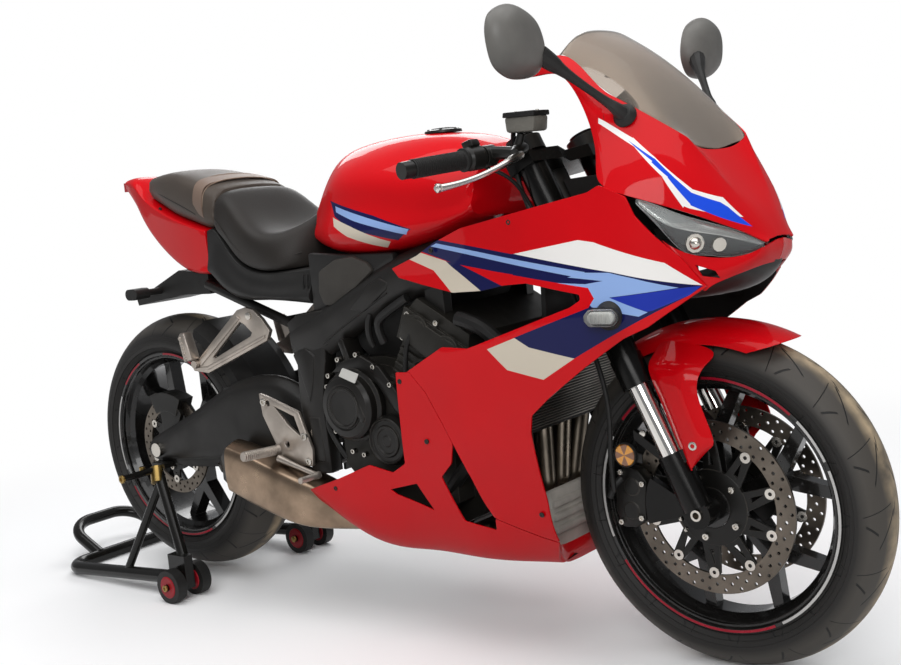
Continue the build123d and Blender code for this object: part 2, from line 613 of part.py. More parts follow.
# Silencer: box-section can under the right side, fed from the collector below the case.
SILENCER = (        # x, inner half width low down and at the top, outer half width, bottom, shoulder, top
    (652, 84, 104, 144, 200, 232, 256),
    (560, 92, 134, 190, 206, 270, 304),
    (400, 102, 140, 202, 246, 284, 354),
    (320, 114, 140, 202, 272, 290, 372),
)
with BuildPart() as silencer:
    for x, inner, upper, outer, low, shoulder, high in SILENCER:
        with BuildSketch(Plane.YZ.offset(x)):
            Polygon((-outer, low + 26), (-outer, high - 14), (-outer + 14, high), (-upper - 6, high),
                    (-upper, high - 12), (-inner, shoulder), (-inner, low + 14), (-inner - 16, low),
                    (-outer + 26, low), align=None)
    loft(ruled=True)
    add(rod((302, -168, 326), (321, -168, 322), 26))
    add(rod((298, -168, 327), (318, -168, 322), 20), mode=Mode.SUBTRACT)
    add(bent_tube([(646, -124, 236), (720, -122, 216), (790, -110, 212), (937, -110, 212)], [90, 60], 17))
keep(silencer.part, "silencer")

with BuildPart() as sprocket:
    add(rod((0, CHAIN_Y[0] + 3, REAR_AXLE_Z), (0, CHAIN_Y[1] - 3, REAR_AXLE_Z), SPROCKET_R, 30))
    add(rod((0, REAR_HUB_HALF + CLEAR, REAR_AXLE_Z), (0, CHAIN_Y[0] + 4, REAR_AXLE_Z), 46, AXLE_R + CLEAR))
keep(sprocket.part, "rear_sprocket")
with BuildPart() as chain:
    add(chain_loop(CHAIN_HIGH, *CHAIN_Y))
    add(chain_loop(0.5, CHAIN_Y[0] - 1, CHAIN_Y[1] + 1), mode=Mode.SUBTRACT)
keep(chain.part, "drive_chain")

# Rear caliper on top of the disc, carried by a bracket from the spindle.
with BuildPart() as rear_caliper:
    add(plate(ring_sector(*rear_axle, 88, 134, (62, 112)), 58, 101))
    add(plate(ring_sector(*rear_axle, 0, REAR_DISC_R + 4, (40, 140)), 74.5, 86.5), mode=Mode.SUBTRACT)
    add(plate([(-16, 330), (16, 330), (58, 412), (50, 424), (-18, 424)], 87, 98))
    add(rod((0, -87, REAR_AXLE_Z), (0, -98, REAR_AXLE_Z), 20))
    add(rod((0, -86, REAR_AXLE_Z), (0, -99, REAR_AXLE_Z), AXLE_R + CLEAR), mode=Mode.SUBTRACT)
keep(rear_caliper.part, "rear_caliper")

HUGGER_R = REAR_TYRE_R + 18
hugger_wall = [(-94, 300), (-88, HUGGER_R - 16), (-50, HUGGER_R), (50, HUGGER_R), (88, HUGGER_R - 16),
               (94, 300), (91, 300), (85, HUGGER_R - 19), (49, HUGGER_R - WALL), (-49, HUGGER_R - WALL),
               (-85, HUGGER_R - 19), (-91, 300)]
with BuildPart() as hugger:
    add(turned(hugger_wall, *rear_axle))
    add(plate([(130, 560), (150, 500), (252, 452), (340, 440), (340, 700), (140, 700)], -120, 120),
        mode=Mode.INTERSECT)
    for side in (-1, 1):
        add(plate([(250, 464.9 + CLEAR), (276, 476 + CLEAR), (276, 490), (250, 486)], side * 90, side * 116))

SHOCK = ((476, 0, 474.3), (572.8, 0, 598.5))
with BuildPart() as shock:
    add(rod(*SHOCK, 12))
    low, high = Vector(*SHOCK[0]), Vector(*SHOCK[1])
    add(rod(low + (high - low) * 0.2, low + (high - low) * 0.8, 33))
keep(shock.part, "rear_shock")

# ---------------------------------------------------------------- tank, seats, tail
TANK = (        # x, then (half width, height) from the top down
    (562, ((0, 900), (34, 892), (62, 868), (66, 838), (62, 800))),
    (622, ((0, 978), (46, 962), (88, 905), (100, 850), (92, 790))),
    (700, ((0, 997), (70, 980), (134, 925), (140, 862), (126, 780))),
    (820, ((0, 1003), (84, 988), (162, 925), (164, 862), (138, 780))),
    (960, ((0, 989), (84, 980), (160, 915), (164, 850), (130, 800))),
    (1050, ((0, 950), (80, 944), (136, 905), (146, 862), (116, 834))),
)
keep(hull(TANK), "fuel_tank")

SEAT = (
    (300, ((0, 934), (80, 930), (118, 905), (126, 862), (110, 846))),
    (360, ((0, 912), (90, 906), (128, 880), (136, 800), (118, 782))),
    (440, ((0, 836), (96, 840), (140, 822), (142, 770), (124, 754))),
    (520, ((0, 842), (70, 842), (116, 826), (136, 770), (118, 752))),
    (558, ((0, 884), (34, 878), (64, 850), (70, 800), (62, 756))),
)
keep(hull(SEAT), "rider_seat")
PILLION = (
    (0, ((0, 986), (40, 984), (60, 974), (64, 950), (50, 933.4 + CLEAR))),
    (130, ((0, 989), (66, 985), (96, 966), (102, 914), (84, 888 + CLEAR))),
    (262, ((0, 955), (82, 949), (118, 930), (124, 876), (100, 852 + CLEAR))),
    (298, ((0, 944), (84, 938), (116, 912), (124, 872), (104, 856))),
)
keep(hull(PILLION), "pillion_seat")
TAIL = (
    (-120, ((0, 986), (30, 984), (44, 976), (40, 962), (26, 952))),
    (-60, ((0, 982), (44, 980), (62, 966), (58, 918), (34, 902))),
    (-2, ((0, 934), (50, 933), (76, 926), (74, 858), (44, 844))),
    (130, ((0, 888), (70, 887), (106, 878), (100, 778), (64, 760))),
    (262, ((0, 852), (96, 851), (124, 844), (122, 762), (96, 748))),
)
keep(hull(TAIL), "tail_cowl")
SEAT_BASE = [(262 + CLEAR, ((0, 851.5), (96, 850.5), (122, 842), (126, 772), (100, 748)))]
for (x, points), half, low in zip(SEAT, (128, 134, 138, 138, 136), (706.8, 686.9, 686, 682, 680)):
    top = points[-1][1] - CLEAR
    SEAT_BASE.append((x, ((0, top), (points[-1][0] - 8, top - 0.5), (half - 4, top - 8),
                          (half, top - 20), (half - 18, low))))
SEAT_BASE.append((600, ((0, 748), (90, 747), (110, 742), (130, 730), (110, 672))))
keep(hull(SEAT_BASE), "seat_base")

# Tail lamp, number-plate holder and rear mudguard under the tail, signals on its sides.
keep(block((-146, -26, 956), (-120 - CLEAR, 26, 978)), "tail_lamp")
PLATE_TOP = (60.0, 742.0)
PLATE_FOOT = (-70.0, 664.0)
with BuildPart() as mudguard:
    with BuildSketch(Plane.XZ.offset(-80)):
        Polygon((201 - CLEAR, 747), (96, 758), (PLATE_FOOT[0] - 8, 690), (PLATE_FOOT[0] - 4, 676), (104, 700),
                (201 - CLEAR, 700),
                align=None)
    extrude(amount=160)
    add(hugger.part)
keep(mudguard.part, "rear_mudguards")
with BuildPart() as rear_signal:
    add(rod((20, -80 - CLEAR, 712), (20, -129, 712), 8))
    with BuildSketch(Plane(origin=(20, -128, 712), z_dir=(0, -1, 0), x_dir=(1, 0, 0))):
        SlotOverall(44, 26)
    extrude(amount=40)
keep(both_sides(rear_signal.part), "rear_signals")

# ---------------------------------------------------------------- fairing
SIDE_SKIN = (
    (860, [(186, 890), (186, 760), (190, 700), (205, 600), (207, 380)]),
    (1010, [(200, 890), (200, 790), (203, 700), (222, 600), (222, 380)]),
    (1205, [(211, 890), (214, 840), (225, 720), (235, 600), (228, 380)]),
    (1322, [(207, 890), (210, 862), (226, 730), (235, 640), (230, 380)]),
    (1438, [(190, 890), (194, 850), (200, 740), (210, 640), (200, 380)]),
    (1530, [(104, 890), (114, 800), (118, 720), (122, 690), (122, 380)]),
)
SIDE_OUTLINE = [
    (1363, 876), (1345, 863), (1277, 853), (1178, 837), (1065, 819), (992, 795), (949, 775), (875, 749),
    (890, 732), (953, 718), (1018, 704), (1072, 703), (1138, 713), (1322, 694), (1189, 633), (1070, 602),
    (1005, 605), (908, 557), (874, 392), (943, 421), (1205, 486), (1244, 517), (1322, 571), (1401, 622),
    (1438, 638), (1483, 671), (1514, 693), (1478, 742), (1425, 812), (1395, 846),
]
with BuildPart() as side_fairing:
    add(skin(SIDE_SKIN))
    add(plate(SIDE_OUTLINE, 90, 260), mode=Mode.INTERSECT)
keep(both_sides(side_fairing.part), "side_fairings")

BELLY_SKIN = (
    (570, [(199, 500), (198.5, 380), (198, 345), (197, 322), (195.5, 306), (193, 294)]),
    (731, [(204, 500), (203, 330), (198, 262), (184, 215), (160, 194), (140, 190)]),
    (874, [(208, 500), (206, 388), (198, 280), (180, 220), (150, 184), (92, 181)]),
    (1005, [(222, 500), (222, 420), (208, 310), (188, 230), (150, 181), (82, 179)]),
    (1214, [(230, 500), (228, 440), (206, 325), (184, 256), (120, 186), (62, 183)]),
)
BELLY_OUTLINE = [
    (584, 296), (682, 327), (773, 362), (835, 351), (874, 391.5), (943, 420.5), (1205, 485.5), (1198, 454),
    (1202, 407), (1205, 327), (1200, 262), (1184, 222), (1160, 170), (760, 170),
    (642, 222),
]
with BuildPart() as belly:
    add(skin(BELLY_SKIN))
    add(plate(BELLY_OUTLINE, 40, 260), mode=Mode.INTERSECT)
with BuildPart() as belly_pair:
    add(both_sides(belly.part))
    add(plate([(540, 120), (700, 120), (700, 250), (650, 400), (540, 400)], -300, -40), mode=Mode.SUBTRACT)
keep(belly_pair.part, "belly_cowls")

COWL_SKIN = (
    (1176, [(146, 1092), (150, 1087), (153, 1080), (154, 1072)]),
    (1287, [(146, 1094), (154, 1085), (161, 1074), (166, 1062)]),
    (1349, [(141, 1030), (154, 1012), (165, 990), (172, 966)]),
    (1366, [(139, 1018), (163, 975), (185, 928), (203, 878)]),
    (1420, [(132, 984), (160, 934), (184, 888), (196, 851)]),
    (1480, [(106, 938), (130, 905), (149, 865), (157, 823)]),
)
NOSE_SKIN = (
    (1479, [(0, 914), (66, 919), (107, 939), (131, 906), (150, 866), (158, 824)]),
    (1530, [(0, 846), (44, 849), (66, 851), (88, 843), (108, 828), (118, 796)]),
    (1577, [(0, 772), (12, 772), (24, 771), (38, 768), (50, 764), (58, 760)]),
)
with BuildPart() as cowl:
    add(skin(COWL_SKIN))
    add(skin(NOSE_SKIN))
    mirror(about=Plane.XZ)
keep(cowl.part, "upper_cowl")

# Head lamps below the cowl's side edges, the lip and dark chin under the nose, and the screen.
LAMPS = (
    (1428, [(190, 847), (194, 842), (192, 834), (184, 829), (174, 834), (178, 843)]),
    (1482, [(150, 815), (158, 804), (158, 774), (148, 752), (116, 758), (122, 806)]),
    (1538, [(98, 786), (107, 777), (104, 752), (92, 738), (66, 744), (72, 780)]),
    (1574, [(50, 759), (58, 756), (59, 751), (54, 746), (42, 748), (43, 756)]),
)
STAY_HALF = 18.0
LAMP_PEG = (1486.0, 768.0)
with BuildPart() as head_lamp:
    add(pod(LAMPS))
    add(rod((LAMP_PEG[0], -STAY_HALF - CLEAR, LAMP_PEG[1]), (LAMP_PEG[0], -122, LAMP_PEG[1]), 8))
keep(both_sides(head_lamp.part), "head_lamps")
CHIN = (
    (1436, ((0, 700), (70, 700), (126, 690), (104, 652), (0, 628))),
    (1500, ((0, 716), (70, 716), (112, 706), (82, 676), (0, 652))),
    (1550, ((0, 730), (44, 730), (64, 724), (44, 704), (0, 692))),
    (1580, ((0, 734), (10, 734), (16, 730), (10, 722), (0, 716))),
)
keep(hull(CHIN), "nose_chin")
SCREEN_SKIN = (
    (1276, [(0, 1140), (60, 1136), (112, 1118), (145, 1094.9)]),
    (1287, [(0, 1133), (60, 1129), (112, 1111), (145, 1095.2)]),
    (1349, [(0, 1092), (60, 1086), (112, 1062), (140.2, 1031.2)]),
    (1420, [(0, 1012), (56, 1008), (102, 1002), (131.2, 985.4)]),
    (1479 - CLEAR, [(0, 914), (40, 917), (78, 923.5), (101.5, 935.5)]),
)
with BuildPart() as screen:
    add(skin(SCREEN_SKIN, 2.5))
    mirror(about=Plane.XZ)
keep(screen.part, "windscreen")

# Stay from the head tube to the nose. It carries the dash, the lamps and both cowl sides.
COWL_PEG = 189.3
with BuildPart() as stay:
    root_low = steer(HEAD_TUBE_R + CLEAR, 0, 560)
    root_high = steer(HEAD_TUBE_R + CLEAR, 0, 650)
    add(plate([(root_low[0], root_low[2]), (root_high[0], root_high[2]), (1392, 898), (1470, 800),
               (1506, 717.7 + CLEAR), (1486, 712.5 + CLEAR), (1430, 790), (1350, 840)], -STAY_HALF, STAY_HALF))
    add(rod((1384, -COWL_PEG, 884), (1384, COWL_PEG, 884), 5))
    add(plate([(1352, 880), (1392, 880), (1372, 963), (1362, 958)], -12, 12))
keep(stay.part, "fairing_stay")
keep(plate([(1334, 1018), (1362, 958 + CLEAR), (1386, 970), (1358, 1032)], -78, 78), "dash_panel")

MIRROR_HEAD = [(-374, 1124), (-362, 1156), (-318, 1172), (-262, 1150), (-241, 1100), (-262, 1062),
               (-318, 1056), (-362, 1078)]
MIRROR_FOOT = Vector(1390, -147, 984)           # on the cowl's side
MIRROR_STAND = Vector(0.12, -0.86, 0.49)        # out of the cowl's surface
with BuildPart() as mirror_right:
    with BuildSketch(Plane.YZ.offset(1288)):
        Polygon(*MIRROR_HEAD, align=None)
    extrude(amount=14)
    with BuildSketch(Plane.YZ.offset(1302)):
        Polygon(*MIRROR_HEAD, align=None)
    extrude(amount=26, taper=38)
    add(rod((1308, -262, 1088), MIRROR_FOOT + MIRROR_STAND * 14, 9))
    add(rod(MIRROR_FOOT + MIRROR_STAND * 3.4, MIRROR_FOOT + MIRROR_STAND * 16, 13))
keep(both_sides(mirror_right.part), "mirrors")

FRONT_SIGNAL = (1376.0, 660.0)
with BuildPart() as front_signal:
    add(rod((FRONT_SIGNAL[0], -223.8, FRONT_SIGNAL[1]), (FRONT_SIGNAL[0], -236, FRONT_SIGNAL[1]), 10))
    with BuildSketch(Plane(origin=(FRONT_SIGNAL[0], -235, FRONT_SIGNAL[1]), z_dir=(0, -1, 0), x_dir=(1, 0, 0))):
        SlotOverall(60, 28)
    extrude(amount=22, taper=12)
keep(both_sides(front_signal.part), "front_signals")

# Side covers between tank and frame, rear sub-frame, foot controls, pillion hangers.
SIDE_COVER = [(604, 786), (604, 659.3 + CLEAR), (640, 668 + CLEAR), (820, 748 + CLEAR), (842, 756),
              (842, 780 - CLEAR), (700, 780 - CLEAR)]
keep(both_sides(plate(SIDE_COVER, 128, 144)), "side_covers")

HANGER = [(352, 668), (405, 668), (452, 622), (440, 600), (230, 524), (180, 528), (170, 548), (205, 560)]
HANGER_WINDOW = [(360, 640), (392, 616), (255, 558)]
HANGER_Y = (126.0, 136.0)
with BuildPart() as hanger:
    add(plate(HANGER, *HANGER_Y))
    add(plate(HANGER_WINDOW, HANGER_Y[0] - 1, HANGER_Y[1] + 1), mode=Mode.SUBTRACT)
    add(plate([(178, 550), (166, 612), (184, 624), (206, 556)], HANGER_Y[1] - 1, HANGER_Y[1] + 24))
    add(rod((391, -109.7 - CLEAR, 659), (391, -HANGER_Y[0] - 1, 659), 9))
keep(both_sides(hanger.part), "pillion_hangers")

FOOT_PLATE = [(427, 489), (460, 480), (545, 452), (576, 372), (572, 336), (540, 336), (478, 352), (432, 440)]
PEG_Y = (166.0, 262.0)
with BuildPart() as foot_control:
    add(plate(FOOT_PLATE, 158, PEG_Y[0]))
    for boss_x, boss_z in ((556, 400), (562, 346)):
        add(rod((boss_x, -150 - CLEAR, boss_z), (boss_x, -159, boss_z), 9))
    add(rod((468, -PEG_Y[0] + 1, 366), (464, -PEG_Y[1], 372), 11))
    add(plate([(466, 352), (476, 338), (598, 316), (602, 326), (484, 364)], 172, 180))
    add(rod((474, -PEG_Y[0] + 1, 350), (474, -173, 350), 8))
    add(rod((596, -179, 322), (596, -230, 322), 8))
keep(both_sides(foot_control.part), "foot_controls")

# Side stand on the left: folded back along the arm at rest, swings down and out.
PROP_FOLDED = Vector(-0.998, 0.05, 0.0)
PROP_LENGTH = 262.0
with BuildPart() as prop:
    add(rod(PROP_PIVOT - PROP_OUT * 9, PROP_PIVOT + PROP_OUT * 9, 16))
    add(rod(PROP_PIVOT + PROP_FOLDED * 8, PROP_PIVOT + PROP_FOLDED * PROP_LENGTH, 10))
    foot = PROP_PIVOT + PROP_FOLDED * PROP_LENGTH
    add(block((foot.X - 6, foot.Y - 18, foot.Z - 24), (foot.X + 2, foot.Y + 22, foot.Z + 24)))
    add(rod(PROP_PIVOT - PROP_OUT * 10, PROP_PIVOT + PROP_OUT * 14, PROP_PIN_R + CLEAR), mode=Mode.SUBTRACT)
keep(prop.part, "side_stand")

# ---------------------------------------------------------------- paddock stand
STAND_REAR_X = -345.0
HANDLE_X = -478.0
STAND_BRACKET_HALF = 12.0
ROLLER_AXLE_R = 6.0
UPRIGHT_FOOT = (130, -196, 92)
UPRIGHT_TOP = (13, -152, 292)
PAD_Z = 301.0
with BuildPart() as stand:
    add(bent_tube([(112, -STAND_HALF, 46), (STAND_REAR_X, -STAND_HALF, STAND_TUBE_R),
                   (STAND_REAR_X, STAND_HALF, STAND_TUBE_R), (112, STAND_HALF, 46)], 60, STAND_TUBE_R))
    add(bent_tube([(STAND_REAR_X, -105, 20), (HANDLE_X, -105, 82), (HANDLE_X, 105, 82), (STAND_REAR_X, 105, 20)],
                  70, STAND_TUBE_R - 1))
    for side in (-1, 1):
        y = side * STAND_HALF
        add(block((98, y - STAND_BRACKET_HALF, 26), (158, y + STAND_BRACKET_HALF, 104)))
        add(rod((ROLLER_X, y - 54, ROLLER_R), (ROLLER_X, y + 54, ROLLER_R), ROLLER_AXLE_R))
        foot_x, foot_y, foot_z = UPRIGHT_FOOT
        top_x, top_y, top_z = UPRIGHT_TOP
        add(rod((foot_x, -side * foot_y, foot_z), (top_x, -side * top_y, top_z), 13))
        add(rod((30, -side * -158, 262), (-84, side * STAND_HALF, 38), 10))
        add(rod((top_x, side * 142, top_z - 5), (top_x, side * 252, top_z - 5), 8))
        add(block((-8, side * 133 - 17, PAD_Z - 12), (40, side * 133 + 17, PAD_Z)))
keep(stand.part, "paddock_stand")
for side, label in ((-1, "right"), (1, "left")):
    with BuildPart() as rollers:
        for offset in (-ROLLER_SPACING / 2, ROLLER_SPACING / 2):
            y = side * STAND_HALF + offset
            add(rod((ROLLER_X, y - ROLLER_W / 2, ROLLER_R), (ROLLER_X, y + ROLLER_W / 2, ROLLER_R), ROLLER_R,
                    ROLLER_AXLE_R + CLEAR))
    keep(rollers.part, f"stand_rollers_{label}")
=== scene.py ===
"""A fully faired sport bike on its paddock stand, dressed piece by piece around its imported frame."""
from math import asin, cos, pi, radians, sin

import bmesh
import bpy
from mathutils import Matrix, Vector


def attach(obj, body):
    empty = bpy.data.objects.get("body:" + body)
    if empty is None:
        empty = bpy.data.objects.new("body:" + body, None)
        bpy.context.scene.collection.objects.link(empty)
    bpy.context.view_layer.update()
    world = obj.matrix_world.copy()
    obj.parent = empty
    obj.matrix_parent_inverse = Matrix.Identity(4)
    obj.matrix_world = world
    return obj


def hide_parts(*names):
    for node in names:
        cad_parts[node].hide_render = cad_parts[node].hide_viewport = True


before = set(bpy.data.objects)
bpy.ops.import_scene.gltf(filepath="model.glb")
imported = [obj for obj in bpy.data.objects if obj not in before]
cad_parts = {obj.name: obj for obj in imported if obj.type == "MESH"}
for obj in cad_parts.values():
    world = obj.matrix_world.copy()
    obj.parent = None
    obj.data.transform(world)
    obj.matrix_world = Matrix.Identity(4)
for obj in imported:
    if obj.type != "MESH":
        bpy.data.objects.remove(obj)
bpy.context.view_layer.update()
scene = bpy.context.scene
scene.view_settings.view_transform = "Standard"

# ---------------------------------------------------------------- camera
# Stands off the right front corner at about seat height, and looks slightly down at the bike.
# A long normal lens, with the small lean of a camera held in the hand.
CAMERA_PLACE = (1.8719, -1.9690, 0.9066)
CAMERA_YAW, CAMERA_PITCH, CAMERA_ROLL = 40.015, 6.864, -5.690
SENSOR_WIDTH = 36.0
FOCAL_LENGTH = 50.41

lens = bpy.data.cameras.new("camera")
lens.sensor_width = SENSOR_WIDTH
lens.lens = FOCAL_LENGTH
camera = bpy.data.objects.new("camera", lens)
camera.matrix_world = (Matrix.Translation(CAMERA_PLACE) @ Matrix.Rotation(radians(CAMERA_YAW), 4, "Z")
                       @ Matrix.Rotation(radians(90 - CAMERA_PITCH), 4, "X")
                       @ Matrix.Rotation(radians(CAMERA_ROLL), 4, "Z"))
scene.collection.objects.link(camera)
scene.camera = camera


# ---------------------------------------------------------------- studio
# A pale seamless floor under a wide soft box, with a second soft box beside the camera.
# The floor and the room are white to the eye and to gloss, and a plain grey to all other light.
def linear(code):
    """Linear colour of an sRGB hex code, by the sRGB curve."""
    shares = [int(code[start:start + 2], 16) / 255 for start in (0, 2, 4)]
    return [s / 12.92 if s <= 0.04045 else ((s + 0.055) / 1.055) ** 2.4 for s in shares] + [1.0]


def add_node(tree, kind, settings=None, links=None):
    """Adds one node, sets its properties and sockets, and joins what feeds it: a socket, or a node's first output."""
    made = tree.nodes.new("ShaderNode" + kind)
    for name, value in (settings or {}).items():
        if isinstance(name, int) or name in made.inputs:
            made.inputs[name].default_value = value
        else:
            setattr(made, name, value)
    for name, source in (links or {}).items():
        tree.links.new(getattr(source, "outputs", [source])[0], made.inputs[name])
    return made


def emptied(holder):
    """Turns on the nodes of a material or the world, and clears them."""
    holder.use_nodes = True
    holder.node_tree.nodes.clear()
    return holder, holder.node_tree


def seen_ray(tree):
    """1 for the rays that the eye, a mirror or a clear screen follows."""
    path = add_node(tree, "LightPath").outputs
    both = add_node(tree, "Math", {"operation": "MAXIMUM"}, {0: path["Is Camera Ray"], 1: path["Is Glossy Ray"]})
    return add_node(tree, "Math", {"operation": "MAXIMUM"}, {0: both, 1: path["Is Transmission Ray"]})


WHITE, GREY = linear("ffffff"), linear("b4b4b4")
floor_finish, tree = emptied(bpy.data.materials.new("seamless_floor"))
tone = add_node(tree, "Mix", {"data_type": "RGBA", 6: GREY, 7: WHITE}, {0: seen_ray(tree)})
diffuse = add_node(tree, "BsdfDiffuse", {}, {"Color": tone.outputs[2]})
NEAR_FLOOR, FAR_FLOOR = 1.3, 2.6        # metres from the bike, between which the floor turns plain white
ROOM_LIGHT = 0.42
place = add_node(tree, "TexCoord").outputs["Object"]
reach = add_node(tree, "VectorMath", {"operation": "LENGTH"}, {0: place}).outputs["Value"]
away = add_node(tree, "MapRange", {"interpolation_type": "SMOOTHSTEP", "From Min": NEAR_FLOOR,
                                   "From Max": FAR_FLOOR}, {"Value": reach})
seen_away = add_node(tree, "Math", {"operation": "MULTIPLY"}, {0: away, 1: seen_ray(tree)})
glow = add_node(tree, "Emission", {"Color": WHITE, "Strength": 1.0})
shown = add_node(tree, "MixShader", {}, {0: seen_away, 1: diffuse, 2: glow})
add_node(tree, "OutputMaterial", {}, {"Surface": shown})

FLOOR_HALF = 30.0
made = bmesh.new()
bmesh.ops.create_grid(made, x_segments=1, y_segments=1, size=FLOOR_HALF)
floor_mesh = bpy.data.meshes.new("floor")
made.to_mesh(floor_mesh)
made.free()
floor_mesh.materials.append(floor_finish)
floor = bpy.data.objects.new("floor", floor_mesh)
scene.collection.objects.link(floor)

room, tree = emptied(bpy.data.worlds.new("room"))
dim = add_node(tree, "Background", {"Color": linear("d8dade"), "Strength": ROOM_LIGHT})
bright = add_node(tree, "Background", {"Color": WHITE, "Strength": 1.0})
only_eye = add_node(tree, "LightPath").outputs["Is Camera Ray"]
shown = add_node(tree, "MixShader", {}, {0: only_eye, 1: dim, 2: bright})
add_node(tree, "OutputWorld", {}, {"Surface": shown})
scene.world = room

SOFT_BOXES = (      # name, place, aim, width, height, watts
    ("overhead", (0.4, -0.5, 3.2), (0.0, 0.0, 0.4), 4.4, 3.4, 95),
    ("beside_camera", (2.6, -3.2, 2.1), (0.2, 0.0, 0.6), 2.0, 1.6, 62),
    ("behind", (-2.2, 2.6, 2.4), (0.0, 0.0, 0.6), 2.4, 1.2, 45),
)
for name, place, aim, width, height, watts in SOFT_BOXES:
    light = bpy.data.lights.new(name, "AREA")
    light.shape = "RECTANGLE"
    light.size, light.size_y = width, height
    light.energy = watts
    lamp = bpy.data.objects.new(name, light)
    lamp.location = place
    lamp.rotation_euler = (Vector(aim) - Vector(place)).to_track_quat("-Z", "Y").to_euler()
    scene.collection.objects.link(lamp)


# ---------------------------------------------------------------- frame
# Steel beams from the head tube to the swingarm pivot, and the tail's rails, welded and powder-coated black.
# The beams' outer faces are pressed to a soft curve, with an inlaid cover on the spar and raised panels on
# the pivot plate.
REAR_AXLE_X = -0.628


def at(ahead, side, up):
    """Place in metres from millimetres ahead of the rear axle, to the left, and above the floor."""
    return Vector((REAR_AXLE_X + ahead / 1000, side / 1000, up / 1000))


def finish(name, colour, roughness, metallic=0.0, grain=1.2, relief=0.03, deep=0.72, round_edge=0.9,
           worn=None, coat=0.0, stretch=(1, 1, 1)):
    """A solid finish with fine relief, slow unevenness, softened edges and, where given, a worn edge colour.
    Grain, relief and the rounding of the edges are in millimetres. Deep is how dark the dull patches are."""
    unevenness = 60         # millimetres between patches
    material, tree = emptied(bpy.data.materials.new(name))
    place = add_node(tree, "TexCoord").outputs["Object"]
    drawn = add_node(tree, "Mapping", {"Scale": stretch}, {"Vector": place})
    slow = add_node(tree, "TexNoise", {"Scale": 1000 / unevenness, "Detail": 4.0}, {"Vector": place}).outputs["Fac"]
    fine = add_node(tree, "TexNoise", {"Scale": 1000 / grain, "Detail": 2.0}, {"Vector": drawn}).outputs["Fac"]
    spread = add_node(tree, "MapRange", {"From Min": 0.35, "From Max": 0.65}, {"Value": slow})
    dark = [part * deep for part in linear(colour)[:3]] + [1.0]
    tone = add_node(tree, "Mix", {"data_type": "RGBA", 6: linear(colour), 7: dark}, {0: spread}).outputs[2]
    gloss = add_node(tree, "MapRange", {"From Min": 0.3, "From Max": 0.7, "To Min": roughness * 0.85,
                                        "To Max": min(1.0, roughness * 1.2)}, {"Value": slow})
    soft = add_node(tree, "Bevel", {"samples": 4, "Radius": round_edge / 1000})
    if worn:
        flat = add_node(tree, "NewGeometry").outputs["Normal"]
        bend = add_node(tree, "VectorMath", {"operation": "DOT_PRODUCT"}, {0: soft, 1: flat}).outputs["Value"]
        rubbed = add_node(tree, "MapRange", {"From Min": 0.98, "From Max": 0.86}, {"Value": bend})
        patchy = add_node(tree, "Math", {"operation": "MULTIPLY"}, {0: rubbed, 1: spread})
        tone = add_node(tree, "Mix", {"data_type": "RGBA", 7: linear(worn)}, {0: patchy, 6: tone}).outputs[2]
    bump = add_node(tree, "Bump", {"Strength": 1.0, "Distance": relief / 1000}, {"Height": fine, "Normal": soft})
    shader = add_node(tree, "BsdfPrincipled",
                      {"Metallic": metallic, "Coat Weight": coat, "Coat Roughness": 0.04,
                       "Specular IOR Level": 0.5 if metallic > 0.5 else 0.3},
                      {"Base Color": tone, "Roughness": gloss, "Normal": bump})
    add_node(tree, "OutputMaterial", {}, {"Surface": shader})
    return material


def dress(material, *names):
    """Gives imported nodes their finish."""
    for name in names:
        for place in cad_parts[name].material_slots:
            place.material = material


# Powder coat is satin and faintly pebbled. It rounds every edge, and rubs grey where boots touch it.
powder_black = finish("powder_coated_steel", "1c1a18", 0.42, grain=1.6, round_edge=3.0, worn="3c3935")
dress(powder_black, "frame")


def make_piece(made, name, material):
    """Turns a bmesh into a piece of the scene."""
    mesh = bpy.data.meshes.new(name)
    made.to_mesh(mesh)
    made.free()
    mesh.materials.append(material)
    piece = bpy.data.objects.new(name, mesh)
    scene.collection.objects.link(piece)
    return piece


def settle(piece, sharp=32):
    """Applies a piece's modifiers, and shades it smooth between edges sharper than that angle."""
    bpy.context.view_layer.update()
    seen = piece.evaluated_get(bpy.context.evaluated_depsgraph_get())
    settled = bpy.data.meshes.new_from_object(seen)
    piece.modifiers.clear()
    piece.data = settled
    settled.shade_smooth()
    settled.set_sharp_from_angle(angle=radians(sharp))
    return piece


def fit(piece, body, slot, *replaced):
    """Puts a finished piece on its body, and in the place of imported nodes."""
    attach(piece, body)
    if replaced:
        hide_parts(*replaced)
    return piece


def mount(made, name, material, body, slot, *replaced, sharp=32):
    """Makes one piece of a bmesh, and puts it on its body."""
    return fit(settle(make_piece(made, name, material), sharp), body, slot, *replaced)


def loft(stations, ring=False, caps=None, creases=(), made=None):
    """Cage through stations of (ahead, [(side, up), ...]), or of (None, [(ahead, side, up), ...]).
    Creases are (index of a point, weight)."""
    made = made or bmesh.new()
    weight = made.edges.layers.float.get("crease_edge") or made.edges.layers.float.new("crease_edge")
    rows, lines = [], []
    for ahead, points in stations:
        corners = [made.verts.new(at(*point) if ahead is None else at(ahead, *point)) for point in points]
        lines.append([made.edges.new(pair) for pair in zip(corners, corners[1:] + corners[:1] * ring)])
        rows.append(corners)
    for near, far in zip(lines, lines[1:]):
        bmesh.ops.bridge_loops(made, edges=near + far)
    for index, value in creases:
        for near, far in zip(rows, rows[1:]):
            edge = made.edges.get((near[index], far[index]))
            if edge:
                edge[weight] = value
    if caps is not None:
        for line in (lines[0], lines[-1]):
            bmesh.ops.contextual_create(made, geom=line)
            for edge in line:
                edge[weight] = caps
    bmesh.ops.recalc_face_normals(made, faces=made.faces[:])
    return made


